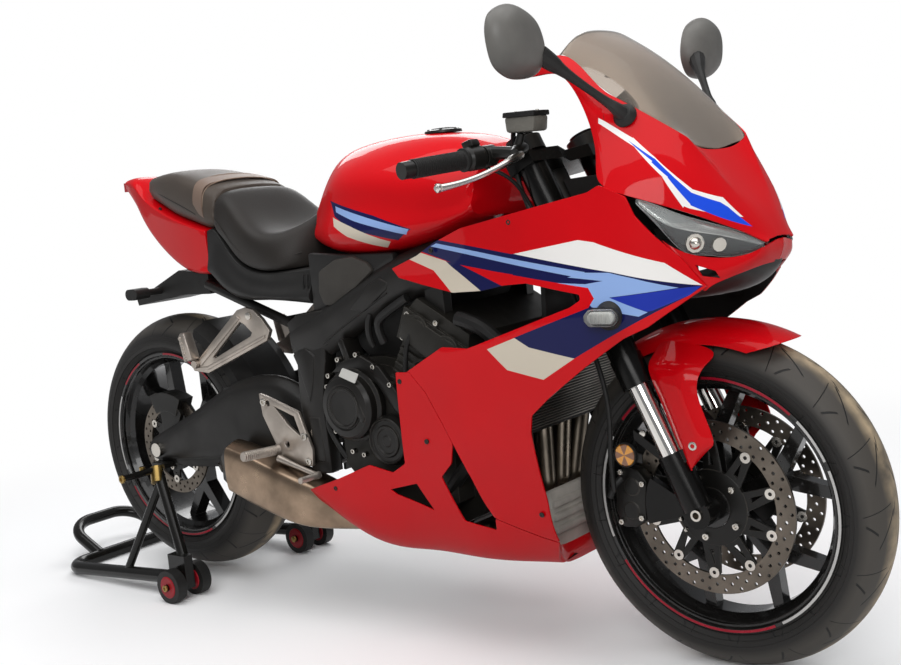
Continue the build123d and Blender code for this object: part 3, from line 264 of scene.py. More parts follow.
def smooth_through(piece, levels=3, passes=3):
    """Subdivides a cage, and pushes the cage out until the smooth skin runs through its first points."""
    places = [vert.co.copy() for vert in piece.data.vertices]
    smoothing = piece.modifiers.new("smooth", "SUBSURF")
    smoothing.levels = smoothing.render_levels = levels
    for _ in range(passes):
        bpy.context.view_layer.update()
        seen = piece.evaluated_get(bpy.context.evaluated_depsgraph_get())
        skin = seen.to_mesh()
        moves = [place - skin.vertices[index].co for index, place in enumerate(places)]
        seen.to_mesh_clear()
        for vert, move in zip(piece.data.vertices, moves):
            vert.co += move
        piece.data.update()


def smooth_form(cage, name, material, levels=3):
    """Piece whose smooth surface runs through the points of its cage."""
    piece = make_piece(cage, name, material)
    smooth_through(piece, levels)
    return settle(piece)


def on_right(stations):
    """Right-hand stations from (half width, height) pairs."""
    return [(ahead, [(-half, up) for half, up in points]) for ahead, points in stations]


def both_sides(piece):
    """Adds a right-hand piece's left-hand twin."""
    made = bmesh.new()
    made.from_mesh(piece.data)
    bmesh.ops.mirror(made, geom=made.verts[:] + made.edges[:] + made.faces[:], axis="Y", merge_dist=0.0002)
    bmesh.ops.recalc_face_normals(made, faces=made.faces[:])
    made.to_mesh(piece.data)
    made.free()
    piece.data.set_sharp_from_angle(angle=radians(32))
    return piece


SPAR = (        # millimetres ahead, then (half width, height) round the beam
    (534, ((112, 644), (138, 646), (153, 624), (153, 590), (138, 556), (112, 556))),
    (640, ((118, 672), (144, 674), (160, 650), (160, 612), (146, 583), (118, 583))),
    (820, ((122, 752), (147, 754), (162, 730), (162, 700), (148, 675), (122, 675))),
    (960, ((114, 790), (137, 792), (152, 768), (152, 738), (138, 707), (114, 707))),
    (1084, ((80, 815), (101, 817), (115, 795), (115, 765), (101, 738), (80, 738))),
)
fit(both_sides(smooth_form(loft(on_right(SPAR), ring=True, caps=1.0), "spar_skins", powder_black)),
    "chassis", "frame_black")


def prism(outline, near, far, rounding=0.0):
    """Closed block across the bike on a side-view outline, its corners rounded in side view."""
    made = bmesh.new()
    corners = [made.verts.new(at(ahead, near, up)) for ahead, up in outline]
    face = made.faces.new(corners)
    pushed = bmesh.ops.extrude_face_region(made, geom=[face])["geom"]
    moved = [part for part in pushed if isinstance(part, bmesh.types.BMVert)]
    bmesh.ops.translate(made, vec=(0, (far - near) / 1000, 0), verts=moved)
    if rounding:
        across = [edge for edge in made.edges if abs(edge.verts[0].co.y - edge.verts[1].co.y) > 0.001]
        bmesh.ops.bevel(made, geom=across, offset=rounding / 1000, segments=3, profile=0.5, material=-1,
                        affect="EDGES", clamp_overlap=True)
    bmesh.ops.recalc_face_normals(made, faces=made.faces[:])
    return made


def join(added, made):
    """Adds one bmesh to another."""
    mesh = bpy.data.meshes.new("part")
    added.to_mesh(mesh)
    added.free()
    made.from_mesh(mesh)
    return made


def slab(outline, near, far, edge, made=None):
    """Block across the bike with every edge rounded."""
    added = prism(outline, near, far)
    bmesh.ops.bevel(added, geom=added.edges[:], offset=edge / 1000, segments=2, profile=0.5, material=-1,
                    affect="EDGES", clamp_overlap=True)
    bmesh.ops.recalc_face_normals(added, faces=added.faces[:])
    return added if made is None else join(added, made)


def hose(points, radius, made=None, radii=None):
    """Bent rod or rubber hose along a smooth line of points in millimetres."""
    curve = bpy.data.curves.new("line", "CURVE")
    curve.dimensions = "3D"
    curve.bevel_depth, curve.bevel_resolution, curve.use_fill_caps = radius / 1000, 3, True
    spline = curve.splines.new("NURBS")
    spline.points.add(len(points) - 1)
    for number, (knot, point) in enumerate(zip(spline.points, points)):
        knot.co = (*at(*point), 1.0)
        knot.radius = radii[number] / radius if radii else 1.0
    spline.order_u, spline.use_endpoint_u, spline.resolution_u = 3, True, 8
    line = bpy.data.objects.new("line", curve)
    scene.collection.objects.link(line)
    bpy.context.view_layer.update()
    swept = bpy.data.meshes.new_from_object(line.evaluated_get(bpy.context.evaluated_depsgraph_get()))
    made = made or bmesh.new()
    made.from_mesh(swept)
    bpy.data.objects.remove(line)
    return made


def twin(made):
    """Adds the left-hand copy of right-hand parts."""
    bmesh.ops.remove_doubles(made, verts=made.verts[:], dist=0.00001)
    bmesh.ops.recalc_face_normals(made, faces=made.faces[:])
    copied = bmesh.ops.duplicate(made, geom=made.verts[:] + made.edges[:] + made.faces[:])["geom"]
    verts = [part for part in copied if isinstance(part, bmesh.types.BMVert)]
    bmesh.ops.scale(made, vec=(1, -1, 1), verts=verts)
    bmesh.ops.reverse_faces(made, faces=[part for part in copied if isinstance(part, bmesh.types.BMFace)])
    return made


BEAM_PANELS = (     # side-view outline, inner and outer side, rounded edge: pivot plate, its raised panels, spar inlay
    ([(523, 642), (560, 660), (641, 670), (630, 560), (609, 470), (615, 320), (552, 313), (537, 470), (542, 560)],
     -119, -154, 9),
    ([(538, 574), (576, 590), (602, 572), (590, 512), (574, 470), (552, 545)], -150, -158, 4),
    ([(566, 440), (596, 440), (602, 345), (572, 345)], -150, -157, 4),
    ([(726, 668), (782, 717), (816, 731), (838, 722), (834, 708), (764, 664)], -156, -165.5, 4),
)
made = bmesh.new()
for outline, near, far, edge in BEAM_PANELS:
    slab(outline, near, far, edge, made)
WELD = [(640, -161, 600), (690, -162, 628), (760, -163, 664), (830, -162, 700)]
hose(WELD, 1.5, made)
mount(twin(made), "beam_panels", powder_black, "chassis", "frame_black")

# ---------------------------------------------------------------- airbox and baffle
# Blow-moulded plastic boxes and sheets that close the space between the beams, round the gearbox, behind the radiator's
# top, beside the lamps and under the dash. The sheet behind the radiator's top is a dark fill that closes the view
# through there and stands in for the shaded space behind it: painted shade.

# Moulded black plastic is dark grey and dull, with a fine sparkle from the mould's grain.
moulded_black = finish("moulded_black_plastic", "201f1e", 0.5, grain=0.9, relief=0.06, round_edge=1.5)
LAMP_BACK = [(1426, 712), (1480, 706), (1478, 764), (1430, 776)]
INNER_BOXES = (     # side-view outline, its two sides, rounded edge
    ([(556, 652), (610, 640), (700, 560), (800, 545), (900, 600), (960, 700), (940, 770), (700, 750), (600, 720)],
     -96, 96, 10),
    # the baffle: a dark sheet closing the view through behind the radiator's top, standing in for the shaded space
    # there: painted shade
    ([(1150, 632), (1162, 632), (1166, 700), (1154, 700)], -100, 100, 3),
    (LAMP_BACK, -96, -134, 4),
    ([(1292, 835), (1356, 840), (1356, 848), (1292, 843)], -168, 168, 2),
    (LAMP_BACK, 134, 96, 4),
    ([(560, 440), (612, 430), (640, 560), (600, 600), (570, 560)], -70, 100, 8),
    ([(548, 330), (612, 330), (640, 430), (570, 430)], -60, 110, 8),
)
made = bmesh.new()
for outline, near, far, edge in INNER_BOXES:
    slab(outline, near, far, edge, made)
mount(made, "airbox_and_shade_baffle", moulded_black, "chassis", "trim_black")
dress(moulded_black, "dash_panel", "fairing_stay")

# ---------------------------------------------------------------- engine
# Die-cast aluminium cases, cylinders and head, sprayed black, with ribs and cam-end plugs cast in.
# Turned covers close the shafts' ends, each held by a ring of bright bolts. The header pipes are stainless.

# Sprayed castings are dry and slightly sandy. Their edges are rubbed to a pale grey.
cast_black = finish("sprayed_casting", "2a2824", 0.5, metallic=0.25, grain=1.0, relief=0.08, round_edge=2.0,
                    worn="57534c")
# The covers are cast smoother and enamelled, so they are semi-gloss.
cover_black = finish("cover_enamel", "1c1a18", 0.34, metallic=0.2, grain=1.4, relief=0.02, round_edge=2.5,
                     worn="4a4640")
# Heat has turned the stainless pipes brown in places.
header_steel = finish("stainless_tube", "8f8578", 0.3, metallic=1.0, grain=2.0, relief=0.02, deep=0.55)
# Zinc plate is bright and a little milky.
plated_steel = finish("zinc_plated_steel", "c4bfb7", 0.24, metallic=1.0, grain=0.8, relief=0.01, deep=0.8,
                      round_edge=0.6)
dress(cast_black, "engine")
dress(header_steel, "exhaust_headers")


def turned(profile, centre, start=0, stop=360, steps=120, ring=True, made=None):
    """Sweeps a profile of (side, radius) about an axle at (ahead, up), between two angles above straight ahead."""
    made = made or bmesh.new()
    ahead, up = centre
    corners = [made.verts.new(at(ahead + radius * cos(radians(start)), side, up + radius * sin(radians(start))))
               for side, radius in profile]
    lines = [made.edges.new(pair) for pair in zip(corners, corners[1:] + corners[:1] * ring)]
    full = stop - start == 360
    bmesh.ops.spin(made, geom=corners + lines, cent=at(ahead, 0, up), axis=(0, -1, 0),
                   angle=radians(stop - start), steps=steps, use_merge=full)
    if ring and not full:
        for at_end in (corners, made.verts[-len(corners):]):
            bmesh.ops.contextual_create(made, geom=list(at_end))
    bmesh.ops.recalc_face_normals(made, faces=made.faces[:])
    return made


CLUTCH, CRANK, GENERATOR, SPROCKET_COVER = (722, 476), (811, 408), (822, 404), (700, 440)
CLUTCH_COVER = [(-160, 74), (-168, 76), (-176, 75), (-180, 68), (-196, 67), (-204, 60), (-207, 47), (-205, 44),
                (-205, 42), (-209, 41), (-209, 37), (-206, 35), (-205, 0.5)]
CRANK_COVER = [(-160, 50), (-170, 51), (-178, 48), (-186, 47), (-188, 44), (-183, 41), (-183, 33), (-187, 31),
               (-187, 26), (-184, 24), (-184, 12), (-186, 10), (-186, 0.5)]
made = bmesh.new()
for profile, centre, steps in (
        (CLUTCH_COVER, CLUTCH, 64), (CRANK_COVER, CRANK, 48),
        ([(160, 70), (172, 71), (186, 66), (196, 56), (196, 30), (192, 27), (192, 0.5)], GENERATOR, 64),
        ([(160, 48), (170, 48), (180, 42), (184, 34), (184, 0.5)], SPROCKET_COVER, 48)):
    turned(profile, centre, steps=steps, ring=False, made=made)
for outline, near, far, edge in (
        ([(664, 540), (700, 566), (752, 578), (800, 556), (842, 506), (858, 452), (830, 470), (790, 520), (740, 548)],
         -160, -176, 4),
        ([(754, 500), (764, 500), (778, 456), (770, 446), (758, 462)], -196, -208, 3),
        ([(700, 560), (716, 566), (700, 610), (684, 606)], -120, -168, 4)):
    slab(outline, near, far, edge, made)
mount(made, "turned_covers", cover_black, "chassis", "cover_black", "engine_covers")


def polar(centre, radius, angle):
    """Side-view place at a radius and an angle in degrees above straight ahead."""
    return centre[0] + radius * cos(radians(angle)), centre[1] + radius * sin(radians(angle))


def bolt(made, place, direction, radius, height):
    """Cap-head bolt with a socket: its foot at a place in millimetres, its head along a direction."""
    turn = Vector(direction).normalized().to_track_quat("Z", "Y").to_matrix().to_4x4()
    foot = Matrix.Translation(at(*place)) @ turn
    added = bmesh.ops.create_cone(made, cap_ends=True, segments=12, radius1=radius / 1000, radius2=radius / 1000,
                                  depth=height / 1000, matrix=foot @ Matrix.Translation((0, 0, height / 2000)))
    axis = turn @ Vector((0, 0, 1))
    faces = {face for vert in added["verts"] for face in vert.link_faces}
    top = max(faces, key=lambda face: face.calc_center_median().dot(axis))
    bmesh.ops.bevel(made, geom=top.edges[:], offset=radius / 6000, segments=2, profile=0.5, material=-1,
                    affect="EDGES")
    faces = {face for vert in made.verts[-60:] for face in vert.link_faces}       # the newest points hold the head
    top = max(faces, key=lambda face: (round(face.calc_center_median().dot(axis), 6), face.calc_area()))
    bmesh.ops.inset_individual(made, faces=[top], thickness=radius * 0.34 / 1000)
    bmesh.ops.inset_individual(made, faces=[top], thickness=radius * 0.04 / 1000, depth=-height * 0.55 / 1000)


CYLINDER_FOOT, LEAN_SIN, LEAN_COS = (818, 406), 0.5, 0.866      # the cylinders lean forward by 30 degrees


def on_cylinders(along, ahead):
    """Side-view place at distances up the cylinders and ahead of their middle."""
    return (CYLINDER_FOOT[0] + LEAN_SIN * along + LEAN_COS * ahead,
            CYLINDER_FOOT[1] + LEAN_COS * along - LEAN_SIN * ahead)


CASE_BOLTS = ((691, 569), (743, 580), (787, 556), (827, 521), (856, 460), (659, 535), (652, 512), (707, 380),
              (738, 375), (665, 420), (648, 466))
HEAD_BOLTS = ((205, -62), (205, 70), (252, -70), (252, 74), (272, 0))       # up the cylinders, ahead of their middle
GENERATOR_BOLTS = 7
FRAME_BOLTS = ((556, -165, 400, 5), (440, -165, 470, 5), (562, -165, 346, 5), (391, -135, 655, 6))
made = bmesh.new()
for ahead, up in CASE_BOLTS:
    bolt(made, (ahead, -168, up), (0, -1, 0), 5.5, 12)
for step in range(GENERATOR_BOLTS):
    ahead, up = polar(GENERATOR, 64, 20 + 51 * step)
    bolt(made, (ahead, 182, up), (0, 1, 0), 5.5, 7)
for where in HEAD_BOLTS:
    ahead, up = on_cylinders(*where)
    for side in (-1, 1):
        bolt(made, (ahead, 165 * side, up), (0, side, 0), 6, 6)
for ahead, side, up, height in FRAME_BOLTS:
    bolt(made, (ahead, side, up), (0, -1, 0), 9, height)
mount(made, "engine_bolts", plated_steel, "chassis", "axle_steel")

CAM_PLUGS = ((236, -38, 27), (236, 44, 27), (150, 4, 34), (96, -44, 18))     # up the cylinders, ahead, radius
HEAD_FOOT, HEAD_HALF, BARREL_HALF = 196, 165, 149       # the head is wider than the barrels below it
RIBS, FIRST_RIB, RIB_PITCH = 7, 70, 17
made = bmesh.new()
for along, ahead, radius in CAM_PLUGS:
    near = HEAD_HALF if along > HEAD_FOOT else BARREL_HALF
    for side in (-1, 1):
        turned([(side * near, radius + 4), (side * (near + 6), radius + 2), (side * (near + 7), radius - 3),
                (side * (near + 4), radius - 5), (side * (near + 4), radius * 0.45), (side * (near + 7), radius * 0.4),
                (side * (near + 7), 0.5)], on_cylinders(along, ahead), steps=32, ring=False, made=made)
for rib in range(RIBS):
    along = FIRST_RIB + rib * RIB_PITCH
    low, high = on_cylinders(along, -70), on_cylinders(along, 76)
    slab([low, high, (high[0] + 3, high[1] + 5), (low[0] + 3, low[1] + 5)], -156, 156, 1.5, made)
HEAD_COVER = ((198, -72), (258, -78), (258, 78), (198, 78))
slab([on_cylinders(*corner) for corner in HEAD_COVER], -173, 173, 8, made)
mount(made, "cylinder_ribs", cast_black, "chassis", "engine_grey")

# Coolant and breather hoses of black rubber: matt, with a soft broad highlight.
rubber_black = finish("sleeve_rubber", "191817", 0.5, grain=0.8)
HOSES = (       # radius, then the line that the hose follows
    (5, [(905, -160, 655), (880, -172, 610), (872, -176, 560), (866, -172, 500), (868, -165, 460)]),
    (15, [(1010, -168, 650), (1060, -172, 640), (1100, -160, 600), (1130, -150, 560)]),
    (14, [(1140, -120, 470), (1080, -160, 430), (1010, -168, 380), (940, -150, 320), (900, -140, 270)]),
    (9, [(800, -150, 600), (790, -162, 640), (830, -165, 665), (880, -160, 690)]),
    (7, [(760, -140, 590), (750, -150, 625), (770, -150, 660)]),
    (6, [(640, -158, 480), (628, -166, 440), (640, -162, 400), (668, -158, 360)]),
    (15, [(1120, 150, 620), (1060, 165, 600), (980, 165, 560), (940, 150, 480)]),
)
made = bmesh.new()
for radius, line in HOSES:
    hose(line, radius, made)
mount(made, "engine_hoses", rubber_black, "chassis", "hose_black")

# A blank label of white printed vinyl, smooth and a little glossy.
label_white = finish("printed_label_vinyl", "d6d4ce", 0.35, grain=1.5, relief=0.01, deep=0.9)
mount(prism([(718, 541), (731, 558), (773, 546), (761, 527)], -205, -206.6, 2), "blank_label", label_white,
      "chassis", "signal_clear")

# ---------------------------------------------------------------- radiator and lower guard
# A brazed aluminium core between side tanks, its top leaning forward, enamelled black behind bare fins.
# Below it a cast aluminium guard with three ribs covers the sump's front.

# The core's enamel is dull. The fins are bare rolled alloy, so their edges glint.
radiator_black = finish("radiator_enamel", "22211f", 0.5, round_edge=1.0)
fin_alloy = finish("radiator_fin_alloy", "8d8780", 0.4, metallic=0.6, grain=1.0, deep=0.7, round_edge=0.3)
mount(slab([(1116, 443), (1168, 633), (1192, 627), (1140, 437)], -172, 172, 2), "radiator_core", radiator_black,
      "chassis", "radiator_black", "radiator")
FINS = 34           # fewer and thicker than the real ones, which would be too fine to see
made = bmesh.new()
for fin in range(FINS):
    share = (fin + 0.5) / FINS
    ahead, up = 1138 + 52 * share, 438 + 188 * share
    join(prism([(ahead, up), (ahead + 5, up - 1.2), (ahead + 5.5, up + 0.6), (ahead + 0.5, up + 1.8)], -160, 160), made)
mount(made, "radiator_fins", fin_alloy, "chassis", "radiator_black")


def tube(path, radii, sides=24, made=None):
    """Straight or bent round body with its own radius at each place, closed at both ends."""
    made = made or bmesh.new()
    points = [at(*place) for place in path]
    rows = []
    for number, (point, radius) in enumerate(zip(points, radii)):
        along = points[min(number + 1, len(points) - 1)] - points[max(number - 1, 0)]
        turn = along.to_track_quat("Z", "Y").to_matrix().to_4x4()
        ring = bmesh.ops.create_circle(made, segments=sides, radius=radius / 1000,
                                       matrix=Matrix.Translation(point) @ turn)["verts"]
        rows.append(list({edge for vert in ring for edge in vert.link_edges}))
    for near, far in zip(rows, rows[1:]):
        bmesh.ops.bridge_loops(made, edges=near + far)
    for line in (rows[0], rows[-1]):
        bmesh.ops.contextual_create(made, geom=line)
    return made


made = bmesh.new()
for side in (-170, 170):
    tube([(1128, side, 438), (1154, side, 535), (1180, side, 632)], [14, 14, 14], made=made)
for ahead, up in ((1180, 628), (1129, 443)):
    tube([(ahead, -174, up), (ahead, 174, up)], [13, 13], made=made)
bmesh.ops.recalc_face_normals(made, faces=made.faces[:])
mount(made, "radiator_tanks", radiator_black, "chassis", "radiator_black")

# Bare casting, its colour painted paler than the metal so that it reads bright in the shade low at the front: painted
# light.
lightened_guard_alloy = finish("cast_lower_guard_lightened", "cbc4bb", 0.5, relief=0.05, round_edge=3.0)
made = slab([(1096, 300), (1112, 300), (1112, 160), (1096, 170)], -72, 100, 6)
for rib in range(3):
    top = 282 - 26 * rib
    slab([(1110, top), (1120, top - 2), (1120, top - 14), (1110, top - 16)], -66, 94, 3, made)
mount(made, "lower_guard", lightened_guard_alloy, "chassis", "engine_grey")

# ---------------------------------------------------------------- swingarm, shock and chain
# A pressed steel gull arm in satin black, skinned on both sides of the wheel. The spindle nuts and the
# pivot bolt are plated steel, and the chain and its sprocket are dark with oil.
ARM = (         # millimetres ahead, then (half width, height) round the arm
    (-36, ((102, 350), (116, 351), (128, 338), (128, 318), (116, 304), (102, 304))),
    (60, ((102, 386), (118, 387), (130, 368), (130, 318), (116, 298), (102, 298))),
    (180, ((102, 436), (120, 437), (132, 412), (132, 338), (118, 308), (102, 308))),
    (290, ((102, 484), (120, 485), (132, 458), (132, 352), (118, 320), (102, 320))),
    (420, ((90, 502), (114, 503), (126, 476), (126, 368), (112, 338), (90, 338))),
    (500, ((76, 472), (100, 473), (114, 452), (114, 392), (100, 370), (76, 370))),
)
fit(both_sides(smooth_form(loft(on_right(ARM), ring=True, caps=1.0), "arm_skins", powder_black)),
    "chassis", "frame_black")
# Oiled steel is brown-grey, and shines only where the oil lies thin.
chain_steel = finish("oiled_steel", "6b6257", 0.36, metallic=0.9, grain=1.0, relief=0.04)
dress(powder_black, "swingarm", "rear_shock")
dress(plated_steel, "rear_axle_and_pivot", "front_axle")
dress(chain_steel, "rear_sprocket", "drive_chain")

# ---------------------------------------------------------------- silencer
# A six-sided can of brushed stainless steel, hung from the right footrest plate, with a blackened end cap.
# One pipe under the engine feeds it.

# Brushing along the can draws fine lines that stretch the highlights across it.
can_steel = finish("brushed_stainless", "9b8672", 0.3, metallic=1.0, grain=0.9, deep=0.6,
                   stretch=(0.06, 1, 1), round_edge=2.0)
# The cap's black finish is thin, so bare metal shows along its edges.
cap_dark = finish("blackened_end_cap", "2b2723", 0.35, metallic=0.6, grain=1.0, round_edge=2.0, worn="6a6056")
CAN = (         # millimetres ahead, then (half width, height) round the can
    (654, ((92, 256), (136, 256), (146, 240), (146, 214), (132, 199), (94, 200))),
    (560, ((112, 305), (178, 305), (191, 288), (191, 226), (176, 206), (92, 208))),
    (480, ((124, 330), (188, 331), (202, 312), (203, 246), (188, 225), (96, 230))),
    (400, ((130, 354), (190, 355), (203, 336), (203, 266), (188, 246), (100, 252))),
    (330, ((136, 370), (190, 371), (203, 352), (203, 288), (190, 270), (112, 276))),
)
CAP = (         # the same, from the can's rear edge
    (331, ((136, 368), (190, 369), (201, 350), (201, 290), (190, 272), (114, 278))),
    (312, ((142, 362), (186, 363), (197, 346), (197, 296), (184, 280), (124, 286))),
    (304, ((150, 352), (180, 352), (190, 340), (190, 304), (178, 292), (138, 296))),
)
fit(smooth_form(loft(on_right(CAN), ring=True, caps=1.0, creases=((1, 0.5), (4, 0.4))), "silencer_can", can_steel),
    "chassis", "exhaust_steel", "silencer")
made = hose([(642, -124, 234), (700, -122, 218), (760, -112, 212), (850, -110, 212), (948, -110, 212)], 18)
tube([(646, -120, 232), (664, -122, 228), (668, -122, 227)], [30, 26, 20], made=made)
mount(made, "link_pipe", header_steel, "chassis", "exhaust_steel")
made = loft(on_right(CAP), ring=True, caps=1.0)
tube([(306, -168, 325), (300, -168, 326.5), (299, -168, 327), (300, -168, 326.8), (306, -168, 325)],
     [26, 26, 24, 20, 19], made=made)
slab([(430, 398), (470, 398), (480, 352), (440, 352)], -138, -146, 3, made)
mount(made, "silencer_cap", cap_dark, "chassis", "exhaust_steel")

# ---------------------------------------------------------------- wheels
# Cast aluminium wheels in gloss black, with short strips of red and white tape round their rims.
# Radial road tyres: soft black rubber cut with swept grooves, dusty round the crown.
FRONT_AXLE, REAR_AXLE = (1450, 300), (0, 330)

# Wheel enamel is deep and glossy under its clear coat.
wheel_black = finish("wheel_enamel", "151413", 0.26, grain=3.0, relief=0.01, round_edge=2.5, coat=0.4,
                     worn="35322e")
dress(wheel_black, "front_rim", "rear_rim")


def groove(tree, turn, across, pitch, lean, curve, start, stop, width):
    """Mask of swept grooves: pitch and width round the tread, start and stop across it, all in millimetres."""
    bent = add_node(tree, "Math", {"operation": "MULTIPLY_ADD", 1: curve, 2: lean}, {0: across})
    swept = add_node(tree, "Math", {"operation": "MULTIPLY_ADD"}, {0: bent, 1: across, 2: turn})
    share = add_node(tree, "Math", {"operation": "WRAP", 1: pitch / 2, 2: -pitch / 2}, {0: swept})
    off = add_node(tree, "Math", {"operation": "ABSOLUTE"}, {0: share})
    line = add_node(tree, "MapRange", {"From Min": width / 2 + 0.4, "From Max": width / 2 - 0.4}, {"Value": off})
    after = add_node(tree, "MapRange", {"From Min": start - 0.6, "From Max": start + 0.6}, {"Value": across})
    before = add_node(tree, "MapRange", {"From Min": stop + 0.6, "From Max": stop - 0.6}, {"Value": across})
    within = add_node(tree, "Math", {"operation": "MULTIPLY"}, {0: after, 1: before})
    return add_node(tree, "Math", {"operation": "MULTIPLY"}, {0: line, 1: within})


def tyre_rubber(name, centre, radius, laps, grooves, dusty):
    """Moulded rubber: matt, with cut grooves painted near-black as shade, moulded rings on the wall, and road dust near
    the crown.
    """
    material, tree = emptied(bpy.data.materials.new(name))
    place = add_node(tree, "TexCoord").outputs["Object"]
    middle = at(centre[0], 0, centre[1])
    moved = add_node(tree, "Mapping", {"Location": -middle * 1000, "Scale": (1000, 1000, 1000)},
                     {"Vector": place})
    split = add_node(tree, "SeparateXYZ", {}, {0: moved}).outputs
    angle = add_node(tree, "Math", {"operation": "ARCTAN2"}, {0: split[2], 1: split[0]})
    side = add_node(tree, "Math", {"operation": "SIGN"}, {0: split[1]})
    pitch = 2 * pi * radius / laps
    offset = add_node(tree, "Math", {"operation": "MULTIPLY", 1: pitch / 4}, {0: side})
    turn = add_node(tree, "Math", {"operation": "MULTIPLY_ADD", 1: radius}, {0: angle, 2: offset})
    across = add_node(tree, "Math", {"operation": "ABSOLUTE"}, {0: split[1]})
    flat = add_node(tree, "CombineXYZ", {}, {0: split[0], 1: split[2]})
    reach = add_node(tree, "VectorMath", {"operation": "LENGTH"}, {0: flat}).outputs["Value"]
    cut = None
    for lean, curve, start, stop, width in grooves:
        mask = groove(tree, turn, across, pitch, lean, curve, start, stop, width)
        cut = mask if cut is None else add_node(tree, "Math", {"operation": "MAXIMUM"}, {0: cut, 1: mask})
    # fine moulded rings stand 9 mm apart on the wall, which starts about 40 mm inside the crown
    ripple = add_node(tree, "Math", {"operation": "PINGPONG", 1: 4.5}, {0: reach})
    moulded = add_node(tree, "MapRange", {"From Min": 0.9, "From Max": 0.3}, {"Value": ripple})
    wall = add_node(tree, "MapRange", {"From Min": radius - 38, "From Max": radius - 46}, {"Value": reach})
    rings = add_node(tree, "Math", {"operation": "MULTIPLY"}, {0: moulded, 1: wall})
    slow = add_node(tree, "TexNoise", {"Scale": 1000 / 45, "Detail": 5.0}, {"Vector": place}).outputs["Fac"]
    grain = add_node(tree, "TexNoise", {"Scale": 1000 / 1.1, "Detail": 2.0}, {"Vector": place}).outputs["Fac"]
    tread = add_node(tree, "MapRange", {"From Min": radius - 42, "From Max": radius - 24}, {"Value": reach})
    tone = add_node(tree, "Mix", {"data_type": "RGBA", 6: linear("1b1917"), 7: linear("45413c")},
                    {0: tread}).outputs[2]
    spread = add_node(tree, "MapRange", {"From Min": dusty * 1.5, "From Max": dusty * 0.4}, {"Value": across})
    patchy = add_node(tree, "MapRange", {"From Min": 0.25, "From Max": 0.65}, {"Value": slow})
    dust = add_node(tree, "Math", {"operation": "MULTIPLY"}, {0: spread, 1: patchy})
    tone = add_node(tree, "Mix", {"data_type": "RGBA", 7: linear("b7a386")}, {0: dust, 6: tone}).outputs[2]
    # the grooves are painted near-black: painted shade in the recesses
    tone = add_node(tree, "Mix", {"data_type": "RGBA", 7: linear("0c0b0a")}, {0: cut, 6: tone}).outputs[2]
    raised = add_node(tree, "Math", {"operation": "SUBTRACT"}, {0: rings, 1: cut})
    deep = add_node(tree, "Bump", {"Strength": 1.0, "Distance": 0.0012}, {"Height": raised})
    bump = add_node(tree, "Bump", {"Strength": 1.0, "Distance": 0.00006}, {"Height": grain, "Normal": deep})
    shader = add_node(tree, "BsdfPrincipled", {"Roughness": 0.6, "Specular IOR Level": 0.4},
                      {"Base Color": tone, "Normal": bump})
    add_node(tree, "OutputMaterial", {}, {"Surface": shader})
    return material


BEAD, SEAT_LINE, TYRE_WALL = 216.3, 231.0, 9.0
TYRE_DROP = 0.64        # how far the tread falls from crown to shoulder, for each half width
TYRES = (       # name, node, body, axle, half width, radius, half rim, laps of the pattern, grooves, dust half width
    ("road_tyre_front", "front_tyre", "front_wheel", FRONT_AXLE, 60.0, 300.0, 48.0, 17,
     ((1.6, 0.014, 10, 38, 5.0), (-1.5, 0.004, 41, 55, 4.6), (0.4, 0.0, 16, 57, 1.5), (2.4, 0.0, 3, 12, 4.4)), 19.0),
    ("road_tyre_rear", "rear_tyre", "rear_wheel", REAR_AXLE, 90.0, 315.0, 73.0, 15,
     ((1.1, 0.008, 14, 54, 6.0), (-0.9, 0.002, 58, 82, 5.4), (0.3, 0.0, 22, 84, 1.6), (2.0, 0.0, 4, 16, 5.0)), 14.0),
)
for name, node, body, axle, half, radius, rim_half, laps, grooves, dusty in TYRES:
    drop = half * TYRE_DROP
    bend = (half ** 2 + drop ** 2) / (2 * drop)
    sweep = asin(half / bend)
    hollow = bend - TYRE_WALL
    crown = [(bend * sin(sweep * step / 12), radius - bend + bend * cos(sweep * step / 12))
             for step in range(-12, 13)]
    inner = [(hollow * sin(sweep * step / 5), radius - bend + hollow * cos(sweep * step / 5))
             for step in range(5, -6, -1)]
    right = [(-half + 0.4, radius - drop - 6), (-half + 2, radius - drop - 14), (-rim_half + 0.5, SEAT_LINE + 1),
             (-rim_half + 0.3, SEAT_LINE - 6), (-rim_half + 8, BEAD), (-rim_half + 14, BEAD + 4)]
    left = [(-side, reach) for side, reach in right]
    tyre = make_piece(turned(right[::-1] + crown + left + inner, axle, steps=240), name,
                      tyre_rubber(name + "_rubber", axle, radius, laps, grooves, dusty))
    fit(settle(tyre), body, "tyre", node)

# Two floating discs in front and one behind: ground stainless rings, cross-drilled in three rows,
# riveted through bright bobbins to black cast carriers.
def circle_line(centre, radius, count=12):
    """Closed side-view outline of a round hole or edge."""
    return [(centre[0] + radius * cos(2 * pi * step / count), centre[1] + radius * sin(2 * pi * step / count))
            for step in range(count)]


def flat_plate(outlines, near, far, made=None):
    """Flat plate between two places across the bike. The first outline is its edge, the others its holes."""
    made = made or bmesh.new()
    edges = []
    for outline in outlines:
        corners = [made.verts.new(at(ahead, near, up)) for ahead, up in outline]
        edges += [made.edges.new(pair) for pair in zip(corners, corners[1:] + corners[:1])]
    filled = bmesh.ops.triangle_fill(made, edges=edges, use_beauty=True, use_dissolve=False)["geom"]
    faces = [part for part in filled if isinstance(part, bmesh.types.BMFace)]
    pushed = bmesh.ops.extrude_face_region(made, geom=faces)["geom"]
    bmesh.ops.translate(made, vec=(0, (far - near) / 1000, 0),
                        verts=[part for part in pushed if isinstance(part, bmesh.types.BMVert)])
    bmesh.ops.recalc_face_normals(made, faces=made.faces[:])
    return made


# Ground steel darkened by use: grey, with a fine even grain.
disc_steel = finish("ground_stainless", "6b635a", 0.36, metallic=0.9, grain=0.8, deep=0.75, round_edge=0.5)
